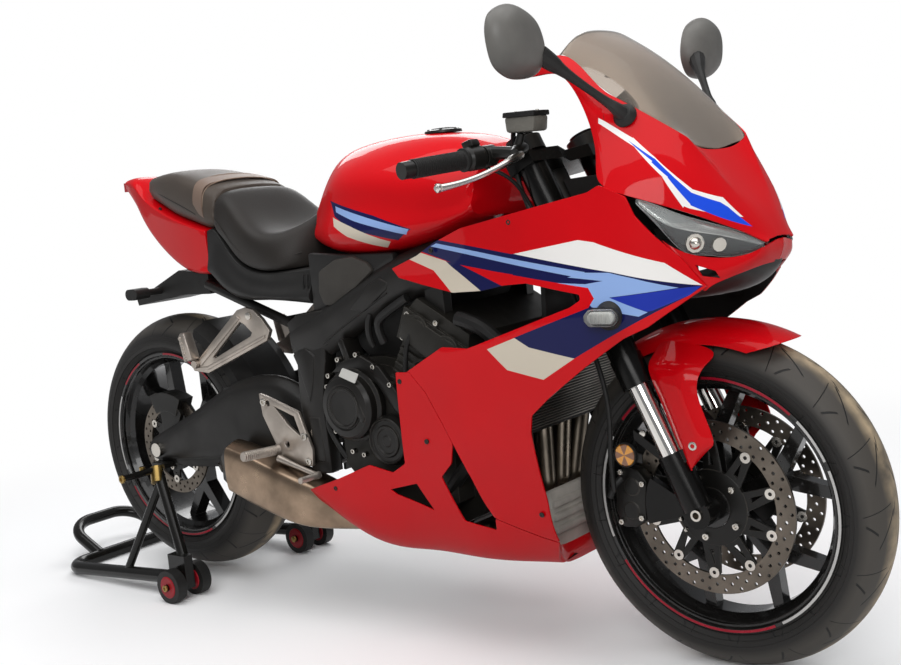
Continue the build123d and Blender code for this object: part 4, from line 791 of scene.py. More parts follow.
# The carriers are cast and sprayed, smoother than the engine's cases.
carrier_black = finish("cast_carrier", "181715", 0.34, metallic=0.2, grain=1.5, round_edge=2.0, worn="4a4640")
HOLE, DISC_HALF, CARRIER_HALF, BOBBIN = 3.3, 2.5, 2.6, 9.6      # hole and bobbin radius, half thicknesses
DISCS = (       # node, body, axle, places across, outer and inner radius, holes in a row, arms, hub ring, first arm
    ("front_discs", "front_wheel", FRONT_AXLE, (-61, 61), 155, 121, 30, 10, (36.6, 68), 12),
    ("rear_disc", "rear_wheel", REAR_AXLE, (-78,), 120, 90, 20, 6, (48.6, 62), 20),
)
for node, body, axle, places, outer, inner, holes, arms, hub, first in DISCS:
    ring, carrier, rivets = bmesh.new(), bmesh.new(), bmesh.new()
    rows = [(outer - 6.5, 0.0), ((outer + inner) / 2, 0.5), (inner + 7, 0.0)]      # radius, share of a step turned
    for side in places:
        drilled = [circle_line(polar(axle, row, 360 * (step + shift) / holes), HOLE, 8)
                   for row, shift in rows for step in range(holes)]
        flat_plate([circle_line(axle, outer, 120), circle_line(axle, inner, 100)] + drilled, side - DISC_HALF,
                   side + DISC_HALF, ring)
        turned([(side - 4, hub[0]), (side + 4, hub[0]), (side + 4, hub[1]), (side - 4, hub[1])], axle, steps=72,
               made=carrier)
        for arm in range(arms):
            angle = first + 360 * arm / arms
            foot = [polar(axle, hub[1] - 4, angle + turn) for turn in (-16, 16)]
            tip = [polar(axle, inner - 2, angle + turn) for turn in (10, 7, 2, -1)]
            window = [polar(axle, hub[1] + 8, angle - 2), polar(axle, hub[1] + 8, angle + 5),
                      polar(axle, inner - 16, angle + 5)]
            flat_plate([foot + tip, window], side - CARRIER_HALF, side + CARRIER_HALF, carrier)
            ahead, up = polar(axle, inner - 4, angle + 4.5)
            turned([(side - 4.5, 3.4), (side + 4.5, 3.4), (side + 4.5, BOBBIN), (side - 4.5, BOBBIN)], (ahead, up),
                   steps=20, made=rivets)
        outward = 1 if side > 0 else -1
        for number in range(5):
            ahead, up = polar(axle, (hub[0] + hub[1]) / 2 + 2, 40 + 72 * number)
            bolt(rivets, (ahead, side + 4 * outward, up), (0, outward, 0), 6.5, 5.5)
    mount(ring, node + "_rings", disc_steel, body, "disc_steel", node)
    mount(carrier, node + "_carriers", carrier_black, body, "wheel_black")
    mount(rivets, node + "_bobbins", plated_steel, body, "axle_steel")

# Reflective tape, a third of a millimetre thick, stuck round the outer faces of both rims. The white arcs sit where the
# rims' flanges shine, so they are white tape and a painted highlight together.
# It is smooth coloured film, flat and even.
tape_red = finish("red_rim_tape", "a3122a", 0.3, grain=1.5, relief=0.01, deep=0.8)
# white tape, and a painted highlight of the flange's shine
white_tape_and_highlight = finish("white_rim_tape_and_highlight", "c9c7c4", 0.3, grain=1.5, relief=0.01, deep=0.85)
TAPE_LOW, TAPE_HIGH, TAPE_THICK = 223.8, 228.4, 0.3
TAPES = ((tape_red, "red_paint", ((212, 296), (48, 92), (118, 140))),       # finish, slot, arcs in degrees
         (white_tape_and_highlight, "signal_clear", ((300, 380), (150, 200), (24, 44))))
for body, axle, half in (("front_wheel", FRONT_AXLE, 53.0), ("rear_wheel", REAR_AXLE, 78.0)):
    for tape, slot, arcs in TAPES:
        made = bmesh.new()
        for start, stop in arcs:
            for outward in (-1, 1):
                near, far = outward * half, outward * (half + TAPE_THICK)
                turned([(near, TAPE_LOW), (near, TAPE_HIGH), (far, TAPE_HIGH), (far, TAPE_LOW)], axle, start, stop, 48,
                       made=made)
        mount(made, body + "_tape_" + slot, tape, body, slot)

# ---------------------------------------------------------------- fork
# Telescopic fork: black anodised outer tubes with cast feet, sliding on hard-chromed inner tubes, between
# two cast yokes on the raked steering head.

# Hard chrome is a near mirror. Black anodising is hard and satin, with a metal glint under it.
chrome = finish("hard_chrome", "d6d3ce", 0.08, metallic=1.0, grain=2.0, relief=0.002, deep=0.9)
fork_black = finish("fork_anodising", "171615", 0.24, metallic=0.5, grain=0.8, relief=0.01, worn="45423d")
dress(chrome, "fork_inner_tubes")
dress(fork_black, "fork_outer_tubes", "fork_feet", "yokes")

# ---------------------------------------------------------------- calipers, brake pipes and reflectors
# Radially bolted four-piston calipers in black enamel, fed by rubber-sleeved pipes clipped to the fork.
# The reflectors are amber discs in moulded rings, on brackets beside the fork's legs.

# Caliper enamel is semi-gloss over a cast grain, rubbed grey on its corners.
caliper_black = finish("caliper_casting", "1d1c1a", 0.36, metallic=0.3, grain=1.0, relief=0.05, round_edge=2.5,
                       worn="504c46")
dress(caliper_black, "rear_caliper")


def caliper_line(*corners):
    """Side-view outline from corners of (radius, angle) about the front axle."""
    return [polar(FRONT_AXLE, radius, angle) for radius, angle in corners]


CALIPER = caliper_line((170, 155), (176, 164), (176, 184), (168, 195), (140, 197), (116, 193), (112, 176), (116, 157),
                       (140, 152))
made = slab(CALIPER, -97, -69, 5)
slab(CALIPER, -53, -36, 4, made)
slab(caliper_line((176, 160), (176, 190), (158, 190), (158, 160)), -90, -40, 2, made)
for piston in caliper_line((141, 166), (141, 184)):
    turned([(-95, 0.5), (-95, 17), (-99, 15), (-99, 0.5)], piston, steps=24, ring=False, made=made)
mount(twin(made), "caliper_bodies", caliper_black, "steering", "caliper_black", "front_calipers")
made = bmesh.new()
for ahead, up in caliper_line((168, 159), (166, 191), (122, 160), (122, 190)):
    bolt(made, (ahead, -96, up), (0, -1, 0), 5.5, 6)
for along in (14, 34):      # pinch bolts, up the fork's foot
    bolt(made, (1432 - along * 0.421, -117, 268 + along * 0.907 - 8), (0.9, -0.1, 0.3), 4.5, 5)
mount(twin(made), "caliper_bolts", plated_steel, "steering", "axle_steel")
made = hose([(1292, -122, 330), (1292, -128, 390), (1300, -130, 450), (1296, -128, 510), (1278, -124, 570),
             (1256, -120, 630), (1234, -116, 690), (1224, -110, 724)], 4.5)
hose([(1300, -108, 352), (1290, -118, 345), (1282, -122, 318)], 6, made)
mount(twin(made), "brake_pipes", rubber_black, "steering", "hose_black")

# Moulded acrylic, clear over eight sectors of small prisms. The sectors are painted lit and shaded amber in turn: a
# painted glint.
REFLECTOR = (1322, 399)
amber, tree = emptied(bpy.data.materials.new("amber_reflector"))
place = add_node(tree, "TexCoord").outputs["Object"]
moved = add_node(tree, "Mapping", {"Location": -at(REFLECTOR[0], 0, REFLECTOR[1])}, {"Vector": place})
split = add_node(tree, "SeparateXYZ", {}, {0: moved}).outputs
angle = add_node(tree, "Math", {"operation": "ARCTAN2"}, {0: split[2], 1: split[0]})
eighth = add_node(tree, "Math", {"operation": "PINGPONG", 1: pi / 4}, {0: angle})
# the eight sectors alternate dark and bright amber, a painted glint of the prisms catching light
painted_glint_sector = add_node(tree, "MapRange", {"From Min": pi / 8 - 0.05, "From Max": pi / 8 + 0.05}, {"Value": eighth})
prisms = add_node(tree, "TexVoronoi", {"Scale": 1000 / 2.5}, {"Vector": place}).outputs["Distance"]
tone = add_node(tree, "Mix", {"data_type": "RGBA", 6: linear("7a4308"), 7: linear("e0930f")},
                {0: painted_glint_sector}).outputs[2]
bump = add_node(tree, "Bump", {"Strength": 1.0, "Distance": 0.0003}, {"Height": prisms})
shader = add_node(tree, "BsdfPrincipled", {"Roughness": 0.2, "Coat Weight": 1.0},
                  {"Base Color": tone, "Normal": bump})
add_node(tree, "OutputMaterial", {}, {"Surface": shader})
made = turned([(-128, 0.5), (-128, 18), (-126, 20), (-121, 20), (-121, 0.5)], REFLECTOR, steps=32, ring=False)
mount(twin(made), "fork_reflectors", amber, "steering", "signal_clear")
made = turned([(-121, 0.5), (-121, 22.5), (-125, 22.5), (-127, 21.5), (-127, 20.2), (-118, 20.2), (-118, 0.5)],
              REFLECTOR, steps=32, ring=False)
slab([(1322, 408), (1352, 400), (1352, 384), (1322, 390)], -119, -115, 1, made)
mount(twin(made), "reflector_brackets", moulded_black, "steering", "trim_black")

# ---------------------------------------------------------------- handlebar fittings
# Ribbed rubber grips, polished aluminium levers, enamelled perches with their switch pods,
# and a smoky plastic fluid cup on the right.
def on_bar(half):
    """Place on the right handlebar's centre line, from its distance to the side."""
    return (1149.3 - 0.2251 * (half - 103), -half, 947.8 - 0.0687 * (half - 103))


# Bar enamel is semi-gloss, and worn to grey steel where hands and keys rub it.
bar_black = finish("bar_enamel", "1a1917", 0.34, relief=0.02, worn="4a4741")
# Grip rubber is the dullest black on the machine.
grip_rubber = finish("grip_rubber", "1d1c1b", 0.6, grain=0.7, relief=0.05, round_edge=0.4)
# Buffed aluminium is bright with a soft mirror.
polished = finish("polished_aluminium", "d5d1cb", 0.22, metallic=1.0, grain=0.8, relief=0.02, deep=0.85)
# The cup is unpigmented nylon, with the dark fluid showing through.
cup_plastic = finish("smoky_nylon", "6d6a63", 0.3, grain=2.0, relief=0.02, round_edge=2.0, deep=0.8)
dress(bar_black, "handlebars")
GRIP_RIBS, FIRST_GRIP_RIB, GRIP_PITCH = 25, 247, 4.1
halves, radii = [240, 240.5, 244, 244.5], [19, 21, 21, 17.4]
for rib in range(GRIP_RIBS):
    start = FIRST_GRIP_RIB + rib * GRIP_PITCH
    halves += [start, start + 0.6, start + 2.2, start + 2.8]
    radii += [15.6, 16.8, 16.8, 15.6]
made = tube([on_bar(half) for half in halves + [350, 352]], radii + [17.2, 16.5])
mount(twin(made), "ribbed_grips", grip_rubber, "steering", "seat_black", "grips", sharp=50)
made = hose([(1207, -196, 938), (1211, -218, 933), (1210, -252, 922), (1188, -296, 906), (1166, -334, 897),
             (1156, -356, 895)], 6, radii=[8, 8, 5.5, 4.8, 5.5, 6.5])
tube([(1155, -352, 895), (1153, -356, 895), (1151, -361, 895), (1150, -364, 895)], [5, 8, 8, 4], made=made)
mount(twin(made), "lever_blades", polished, "steering", "lever_silver", "hand_levers")
made = tube([on_bar(half) for half in (176, 177, 199, 200)], [17, 19, 19, 17])
tube([on_bar(half) for half in (203, 206, 232, 237)], [19, 21.5, 21.5, 18], made=made)
hose([(1142, -186, 946), (1168, -188, 944), (1192, -192, 941), (1204, -196, 938)], 11, made, radii=[12, 12, 11, 10])
tube([(1196, -166, 950), (1198, -176, 948), (1201, -196, 944), (1203, -206, 941)], [8, 11, 11, 8], made=made)
tube([(1190, -186, 940), (1200, -186, 960), (1206, -186, 974)], [8, 7, 7], made=made)
slab([(1106, 968), (1128, 974), (1134, 962), (1112, 954)], -232, -208, 3, made)
mount(twin(made), "perches_and_pods", bar_black, "steering", "bar_black", "hand_controls")
mount(slab([(1192, 976), (1250, 974), (1254, 1001), (1190, 1003)], -212, -168, 5), "fluid_cup", cup_plastic,
      "steering", "signal_clear")
made = slab([(1188, 1002), (1255, 1000), (1255, 1009), (1190, 1011)], -214, -166, 2)
hose([(1194, -178, 978), (1178, -164, 986), (1158, -146, 976), (1146, -130, 940), (1142, -124, 900), (1163, -124, 840),
      (1196, -124, 770), (1224, -116, 722)], 4.5, made)
hose([(1196, -178, 950), (1180, -150, 975), (1150, -110, 985), (1128, -60, 970), (1122, -24, 932)], 4, made)
hose([(1112, -214, 938), (1118, -180, 922), (1150, -150, 900), (1165, -120, 850), (1180, -112, 800)], 3.5, made)
mount(made, "cup_lid_and_hoses", rubber_black, "steering", "hose_black")
made = bmesh.new()
bolt(made, (1200, -190, 1010), (0, 0, 1), 3, 2)
bolt(made, (1246, -190, 1009), (0, 0, 1), 3, 2)
for ahead, side, up in (on_bar(178), on_bar(198)):
    bolt(made, (ahead - 12, side, up + 14), (-0.6, 0, 0.8), 3.5, 3)
mount(made, "control_screws", plated_steel, "steering", "axle_steel")

# ---------------------------------------------------------------- fuel tank
# Pressed steel tank with a full round crown, sprayed red and striped under clear lacquer, and a screwed-down
# black filler cap.
def region(tree, place, corners):
    """Mask of a convex side-view region, from corners in millimetres ahead of the rear axle and up."""
    turn = sum(a[0] * b[1] - b[0] * a[1] for a, b in zip(corners, corners[1:] + corners[:1]))
    depth = None
    for (ax, az), (bx, bz) in zip(corners, corners[1:] + corners[:1]):
        inward = Vector((az - bz, 0, bx - ax)).normalized() * (1 if turn > 0 else -1)
        along = add_node(tree, "VectorMath", {"operation": "DOT_PRODUCT", 1: inward}, {0: place}).outputs["Value"]
        inside = add_node(tree, "Math", {"operation": "SUBTRACT", 1: inward.dot(at(ax, 0, az))}, {0: along})
        depth = inside if depth is None else add_node(tree, "Math", {"operation": "MINIMUM"},
                                                      {0: depth, 1: inside})
    return add_node(tree, "MapRange", {"From Min": -0.0002, "From Max": 0.0002}, {"Value": depth})


def lacquered(name, base, layers=()):
    """Coloured plastic or steel under clear lacquer. Layers are a colour and the corners of a convex region."""
    material, tree = emptied(bpy.data.materials.new(name))
    place = add_node(tree, "TexCoord").outputs["Object"]
    slow = add_node(tree, "TexNoise", {"Scale": 1000 / 90, "Detail": 2.0}, {"Vector": place}).outputs["Fac"]
    peel = add_node(tree, "TexNoise", {"Scale": 1000 / 7, "Detail": 1.0}, {"Vector": place}).outputs["Fac"]
    dark = [part * 0.9 for part in linear(base)[:3]] + [1.0]
    tone = add_node(tree, "Mix", {"data_type": "RGBA", 6: linear(base), 7: dark}, {0: slow}).outputs[2]
    for colour, corners in layers:
        tone = add_node(tree, "Mix", {"data_type": "RGBA", 7: linear(colour)},
                        {0: region(tree, place, corners), 6: tone}).outputs[2]
    soft = add_node(tree, "Bevel", {"samples": 4, "Radius": 0.0012})
    bump = add_node(tree, "Bump", {"Strength": 1.0, "Distance": 0.000012}, {"Height": peel, "Normal": soft})
    shader = add_node(tree, "BsdfPrincipled", {"Roughness": 0.5, "Specular IOR Level": 0.05, "Coat Weight": 0.32,
                                                "Coat Roughness": 0.03},
                      {"Base Color": tone, "Normal": bump, "Coat Normal": bump})
    add_node(tree, "OutputMaterial", {}, {"Surface": shader})
    return material


def mirrored(half_stations):
    """Closed sections from right-hand ones of (half width, height), top first."""
    return [(ahead, [(-half, up) for half, up in points] + [(half, up) for half, up in points[::-1] if half > 0])
            for ahead, points in half_stations]


TANK = (        # millimetres ahead, then (half width, height) from the top down
    (556, ((0, 892), (30, 886), (56, 866), (62, 838), (58, 806))),
    (590, ((0, 950), (38, 938), (74, 890), (84, 846), (78, 796))),
    (632, ((0, 981), (50, 966), (98, 910), (112, 856), (100, 788))),
    (700, ((0, 997), (70, 980), (136, 925), (144, 862), (128, 780))),
    (820, ((0, 1003), (84, 988), (160, 925), (164, 862), (138, 780))),
    (960, ((0, 989), (84, 980), (160, 915), (164, 850), (130, 800))),
    (1050, ((0, 950), (80, 944), (136, 905), (146, 862), (116, 834))),
)
NAVY, SKY, SAND, RED = "12164a", "8fade0", "d3c8b6", "d2020f"
TANK_STRIPES = (
    (NAVY, [(677, 889), (824, 853), (920, 822), (878, 802), (760, 830), (699, 857)]),
    (SKY, [(700, 877), (915, 822), (905, 812), (768, 845), (704, 865)]),
    (SAND, [(693, 855), (756, 836), (858, 800), (834, 788), (747, 815), (701, 837)]),
)
# Lacquer: full colour with a clear wet gloss over it, and an orange-peel ripple about 7 mm long.
tank_red = lacquered("striped_tank_lacquer", RED, TANK_STRIPES)
fit(smooth_form(loft(mirrored(TANK), ring=True, caps=0.5), "tank_shell", tank_red), "chassis", "red_paint", "fuel_tank")
made = tube([(880, 0, 1001), (880, 0, 1006), (880, 0, 1008)], [38, 37, 30], 48)
tube([(880, 0, 1006), (880, 0, 1010), (880, 0, 1011)], [24, 23, 20], 32, made)
for step in range(6):
    bolt(made, (880 + 31 * cos(pi * step / 3), 31 * sin(pi * step / 3), 1006.5), (0, 0, 1), 3, 2.5)
mount(made, "filler_cap", bar_black, "chassis", "trim_black")

# ---------------------------------------------------------------- seats and tail
# Foam seats under stretched grained vinyl, black for the rider and dark brown for the passenger, with piped
# seams and a strap over the passenger's pad. Both stand on moulded pans, and the tail shell wraps the rails.
def upholstery(name, colour, light):
    """Grained vinyl: a cell pattern of shallow creases about two millimetres apart, with a soft sheen."""
    material, tree = emptied(bpy.data.materials.new(name))
    place = add_node(tree, "TexCoord").outputs["Object"]
    slow = add_node(tree, "TexNoise", {"Scale": 1000 / 70, "Detail": 5.0}, {"Vector": place}).outputs["Fac"]
    cells = add_node(tree, "TexVoronoi", {"feature": "SMOOTH_F1", "Scale": 1000 / 2.4},
                     {"Vector": place}).outputs["Distance"]
    tone = add_node(tree, "Mix", {"data_type": "RGBA", 6: linear(colour), 7: linear(light)}, {0: slow}).outputs[2]
    gloss = add_node(tree, "MapRange", {"To Min": 0.42, "To Max": 0.62}, {"Value": slow})
    bump = add_node(tree, "Bump", {"Strength": 0.6, "Distance": 0.0004}, {"Height": cells})
    shader = add_node(tree, "BsdfPrincipled", {"Sheen Weight": 0.04, "Specular IOR Level": 0.3},
                      {"Base Color": tone, "Roughness": gloss, "Normal": bump})
    add_node(tree, "OutputMaterial", {}, {"Surface": shader})
    return material


# Vinyl is dull with a soft broad shine, and its colour drifts a little where it is stretched.
black_vinyl = upholstery("black_grained_vinyl", "1b1815", "26211d")
brown_vinyl = upholstery("brown_grained_vinyl", "3a322c", "4d443c")
RIDER_PAD = (       # millimetres ahead, then (half width, height) from the top down
    (300, ((0, 934), (80, 930), (118, 905), (126, 862), (110, 846))),
    (332, ((0, 928), (86, 922), (122, 896), (130, 836), (114, 812))),
    (380, ((0, 880), (92, 880), (134, 860), (138, 790), (120, 776))),
    (440, ((0, 836), (96, 840), (140, 822), (142, 770), (124, 754))),
    (500, ((0, 834), (78, 836), (124, 822), (138, 770), (120, 752))),
    (540, ((0, 862), (50, 858), (88, 836), (104, 784), (92, 754))),
    (560, ((0, 884), (30, 878), (56, 850), (64, 800), (56, 758))),
)
PILLION_PAD = (
    (0, ((0, 984), (38, 982), (58, 972), (62, 952), (50, 934))),
    (60, ((0, 990), (54, 986), (80, 972), (84, 938), (68, 914))),
    (130, ((0, 989), (66, 985), (96, 966), (102, 914), (84, 889))),
    (200, ((0, 975), (76, 969), (110, 948), (116, 896), (94, 870))),
    (262, ((0, 955), (82, 949), (118, 930), (124, 876), (100, 853))),
    (298, ((0, 942), (84, 936), (116, 912), (124, 874), (104, 857))),
)
for name, stations, vinyl, slot, node in (("rider_pad", RIDER_PAD, black_vinyl, "seat_black", "rider_seat"),
                                          ("passenger_pad", PILLION_PAD, brown_vinyl, "seat_brown", "pillion_seat")):
    pad = smooth_form(loft(mirrored(stations), ring=True, caps=0.5, creases=((4, 0.6), (5, 0.6))), name, vinyl)
    fit(pad, "chassis", slot, node)
SEAT_PAN = (
    (266, ((0, 851), (96, 850), (122, 842), (127, 776), (100, 748))),
    (300, ((0, 845), (102, 844), (124, 836), (130, 790), (110, 712))),
    (360, ((0, 781), (110, 780), (131, 770), (136, 740), (116, 689))),
    (440, ((0, 753), (116, 752), (136, 744), (140, 716), (120, 687))),
    (520, ((0, 751), (112, 750), (137, 744), (141, 712), (122, 683))),
    (600, ((0, 760), (100, 758), (130, 750), (139, 714), (118, 674))),
)
pan = loft(mirrored(SEAT_PAN), ring=True, caps=1.0, creases=((2, 0.4), (6, 0.4)))
fit(smooth_form(pan, "seat_pan", moulded_black), "chassis", "trim_black", "seat_base")


def thicken(piece, wall, bare=None):
    """Gives a skin its wall, on the inner side, bare of paint where a second finish is given."""
    made = bmesh.new()
    made.from_mesh(piece.data)
    bmesh.ops.recalc_face_normals(made, faces=made.faces[:])
    middle = sum((face.normal.y * (1 if face.calc_center_median().y > 0 else -1) for face in made.faces), 0.0)
    if middle < 0:
        bmesh.ops.reverse_faces(made, faces=made.faces[:])
    made.to_mesh(piece.data)
    made.free()
    walls = piece.modifiers.new("wall", "SOLIDIFY")
    walls.thickness = wall / 1000
    walls.offset = -1
    if bare:
        piece.data.materials.append(bare)
        walls.material_offset = 1
    return settle(piece)


def smooth_skin(cage, name, material, wall, levels=3, bare=None):
    """Smooth moulded sheet through the points of its cage, with its wall on the inner side."""
    return thicken(smooth_form(cage, name, material, levels), wall, bare)


STRAP = (
    (228, ((0, 972), (78, 966), (113, 945), (120, 895), (100, 866))),
    (246, ((0, 966), (80, 960), (117, 940), (123, 887), (103, 860))),
    (264, ((0, 960), (83, 954), (120, 934), (126, 880), (104, 856))),
)
strap_rows = [(ahead, [(-half, up) for half, up in points[::-1]] + list(points[1:])) for ahead, points in STRAP]
# The strap is a paler, warmer brown than the pad.
strap_vinyl = upholstery("strap_vinyl", "6b584c", "7d6a5d")
strap = smooth_skin(loft(strap_rows), "passenger_strap", strap_vinyl, 2.5)
fit(strap, "chassis", "seat_brown")
# Piping is the same vinyl rolled over a cord, paler where it is rubbed.
piping_vinyl = finish("piping_vinyl", "8a7666", 0.5, grain=0.8)
made = bmesh.new()
for row in (0, 2):
    ahead, points = STRAP[row]
    line = [(ahead, -half, up + 1) for half, up in points[::-1]] + [(ahead, half, up + 1) for half, up in points[1:]]
    hose(line, 1.5, made)
mount(made, "strap_piping", piping_vinyl, "chassis", "seat_brown")
made = hose([(304, -127, 870), (336, -131, 836), (380, -139, 800), (440, -143, 776), (500, -139, 772),
             (544, -103, 786)], 1.6)
hose([(6, -61, 955), (60, -85, 944), (130, -103, 922), (200, -117, 900), (232, -120, 886)], 1.6, made)
mount(twin(made), "seat_seams", black_vinyl, "chassis", "seat_black")

TAIL = (
    (-124, ((0, 986), (26, 984), (38, 977), (36, 964), (22, 954))),
    (-60, ((0, 982), (44, 980), (62, 966), (58, 918), (34, 902))),
    (-2, ((0, 934), (50, 933), (76, 926), (74, 858), (44, 844))),
    (130, ((0, 888), (70, 887), (106, 878), (100, 778), (64, 760))),
    (262, ((0, 852), (96, 851), (124, 844), (122, 762), (96, 748))),
)
# The same lacquer without stripes.
plain_red = lacquered("red_lacquer", RED)
tail = loft(mirrored(TAIL), ring=True, caps=1.0, creases=((2, 0.7), (6, 0.7), (3, 0.5), (5, 0.5)))
fit(smooth_form(tail, "tail_shell", plain_red), "chassis", "tail_red", "tail_cowl")
# The tail lamp is moulded red acrylic, glossy and evenly coloured.
dress(finish("red_lens", "b3101c", 0.2, grain=9.0, relief=0.01, deep=0.94, coat=1.0), "tail_lamp")
dress(moulded_black, "rear_mudguards", "rear_signals")

# ---------------------------------------------------------------- knee panels
# Moulded covers between the tank and the beams, slotted behind, with a raised pad of soft grained plastic
# where the rider's knee rests.

# The pad is dry and rubbery, greyer than the moulded black round it.
knee_plastic = finish("grained_knee_plastic", "3c3935", 0.6, grain=1.1, relief=0.08, round_edge=2.0, deep=0.85)
made = slab([(604, 786), (604, 662), (640, 671), (820, 751), (842, 758), (842, 778), (700, 779)], -127, -146, 6)
mount(twin(made), "side_panel_covers", moulded_black, "chassis", "trim_black", "side_covers")
made = slab([(638, 748), (632, 706), (644, 676), (668, 676), (740, 712), (790, 744), (776, 762), (737, 776),
             (685, 770)], -140, -155, 7)
mount(twin(made), "knee_pads", knee_plastic, "chassis", "seat_black")
made = hose([(596, -143, 742), (588, -144, 712), (596, -143, 690)], 2.0)
hose([(584, -143, 742), (576, -144, 712), (584, -143, 690)], 2.0, made)
mount(twin(made), "side_panel_slots", rubber_black, "chassis", "trim_black")

# ---------------------------------------------------------------- side fairings and belly pan
# Injection-moulded ABS shells three millimetres thick, sprayed red, striped and lacquered outside and left
# bare inside. Each is trimmed from one flowing skin, with windows for the engine's heat.
SHELL = (       # millimetres ahead, then (half width, height) from the top down
    (570, ((186, 890), (186, 760), (190, 700), (196, 600), (199, 480), (198.5, 380),
           (197, 322), (195.5, 306), (194, 299), (193, 294))),
    (731, ((186, 890), (186, 760), (190, 700), (200, 600), (204, 480), (203, 330),
           (198, 262), (184, 215), (160, 194), (140, 190))),
    (874, ((186, 890), (186, 760), (190, 700), (205, 600), (208, 480), (206, 388),
           (198, 280), (180, 220), (150, 184), (92, 181))),
    (1005, ((200, 890), (200, 790), (203, 700), (221, 600), (222, 480), (218, 400),
           (208, 310), (188, 230), (150, 181), (82, 179))),
    (1110, ((207, 890), (209, 810), (216, 706), (230, 600), (227, 480), (222, 400),
           (207, 316), (186, 242), (136, 184), (72, 181))),
    (1205, ((211, 890), (216, 838), (225, 720), (235, 600), (230, 480), (224, 400),
           (206, 322), (184, 254), (120, 186), (62, 183))),
    (1322, ((207, 890), (210, 862), (226, 730), (235, 640), (231, 480), (224, 400),
           (206, 322), (184, 254), (120, 186), (62, 183))),
    (1438, ((190, 890), (194, 850), (200, 740), (210, 640), (205, 480), (200, 400),
           (190, 322), (170, 254), (120, 186), (62, 183))),
    (1530, ((104, 890), (114, 800), (118, 720), (122, 690), (122, 480), (122, 400),
           (120, 322), (110, 254), (90, 186), (62, 183))),
)
FAIRING_OUTLINE = [
    (1377, 870), (1366, 874), (1345, 864), (1277, 853), (1178, 837), (1065, 819), (992, 795), (945, 773), (873, 750),
    (890, 732), (953, 718), (1035, 703), (1109, 706), (1164, 715), (1215, 718), (1326, 697), (1328, 688),
    (1307, 676), (1098, 611), (1071, 603), (1006, 604), (903, 553), (911, 555), (954, 517), (989, 462), (1010, 423),
    (1043, 358), (1062, 312), (1078, 283), (1175, 250), (1201, 243), (1205, 327), (1202, 407),
    (1198, 454), (1205, 486), (1244, 517), (1322, 571), (1401, 622), (1438, 638), (1483, 671), (1514, 695),
    (1498, 721), (1484, 746), (1455, 780), (1425, 820), (1412, 852),
]
BELLY_OUTLINE = [
    (584, 294), (682, 327), (773, 362), (835, 351), (872, 372), (874, 552), (903, 553), (911, 554),
    (953, 516), (988, 461), (1009, 423), (998, 383), (966, 354), (1004, 269), (1075, 257), (1079, 281),
    (1174, 248), (1200, 241), (1176, 204), (1152, 170), (760, 170), (642, 222),
]
BELLY_VENT = [(823, 316), (896, 334), (932, 283), (838, 307)]
PEARL, ROYAL = "f1eeea", "2236a4"
PANEL_WALL = 3.0
STRIPES = (     # colour, then the corners of a convex region, the later over the earlier
    (PEARL, [(1188, 769), (1325, 787), (1354, 782), (1464, 740), (1509, 698)]),
    (SAND, [(918, 768), (952, 779), (1021, 761), (988, 744)]),
    (SAND, [(1021, 761), (1110, 706), (1059, 700), (1035, 700), (986, 745)]),
    (SAND, [(1120, 603), (1185, 624), (1309, 590), (1241, 552), (1163, 567)]),
    (NAVY, [(945, 784), (1007, 800), (1187, 769), (1396, 728), (1372, 717), (1301, 718), (1056, 752)]),
    (NAVY, [(1021, 761), (1056, 754), (1164, 715), (1109, 705), (1036, 750)]),
    (NAVY, [(1187, 770), (1387, 731), (1510, 697), (1494, 684), (1309, 590), (1216, 608), (1185, 624)]),
    (SKY, [(985, 789), (1001, 794), (1337, 734), (1342, 722)]),
    (SKY, [(1269, 719), (1336, 733), (1380, 731), (1421, 719), (1481, 698), (1372, 690)]),
    (SKY, [(1340, 706), (1368, 697), (1440, 663), (1427, 657), (1349, 676), (1340, 690)]),
    (NAVY, [(1230, 735), (1339, 722), (1370, 718), (1338, 714), (1260, 719)]),
    (ROYAL, [(1382, 690), (1481, 697), (1508, 697), (1494, 684), (1447, 665), (1439, 664)]),
    (RED, [(1056, 754), (1236, 725), (1343, 708), (1330, 690), (1164, 713)]),
    (RED, [(1343, 708), (1354, 690), (1343, 675), (1326, 688), (1326, 700)]),
    (RED, [(1354, 690), (1343, 675), (1120, 604), (1098, 612), (1310, 690)]),
)


def trim(piece, cutter, keep_inside):
    """Trims a piece by a closed block, which is then thrown away."""
    block = make_piece(cutter, "cutter", piece.data.materials[0])
    cut = piece.modifiers.new("trim", "BOOLEAN")
    cut.solver = "EXACT"
    cut.operation = "INTERSECT" if keep_inside else "DIFFERENCE"
    cut.object = block
    settle(piece)
    bpy.data.objects.remove(block)
    return piece


# The same lacquer over stripes sprayed and masked in layers, so their edges are sharp and the gloss runs over them.
fairing_red = lacquered("striped_fairing_lacquer", RED, STRIPES)
fairing = smooth_skin(loft(on_right(SHELL)), "side_panels", fairing_red, PANEL_WALL, bare=moulded_black)
trim(fairing, prism(FAIRING_OUTLINE, -80, -260, 3.0), True)
fit(both_sides(fairing), "chassis", "red_paint", "side_fairings")
belly = smooth_skin(loft(on_right(SHELL)), "belly_pan", plain_red, PANEL_WALL, bare=moulded_black)
trim(belly, prism(BELLY_OUTLINE, -20, -260, 3.0), True)
trim(belly, prism(BELLY_VENT, -20, -260), False)
both_sides(belly)
SIDE_STAND_GAP = [(540, 120), (700, 120), (700, 250), (650, 400), (540, 400)]
trim(belly, prism(SIDE_STAND_GAP, 40, 300), False)
fit(belly, "chassis", "red_paint", "belly_cowls")

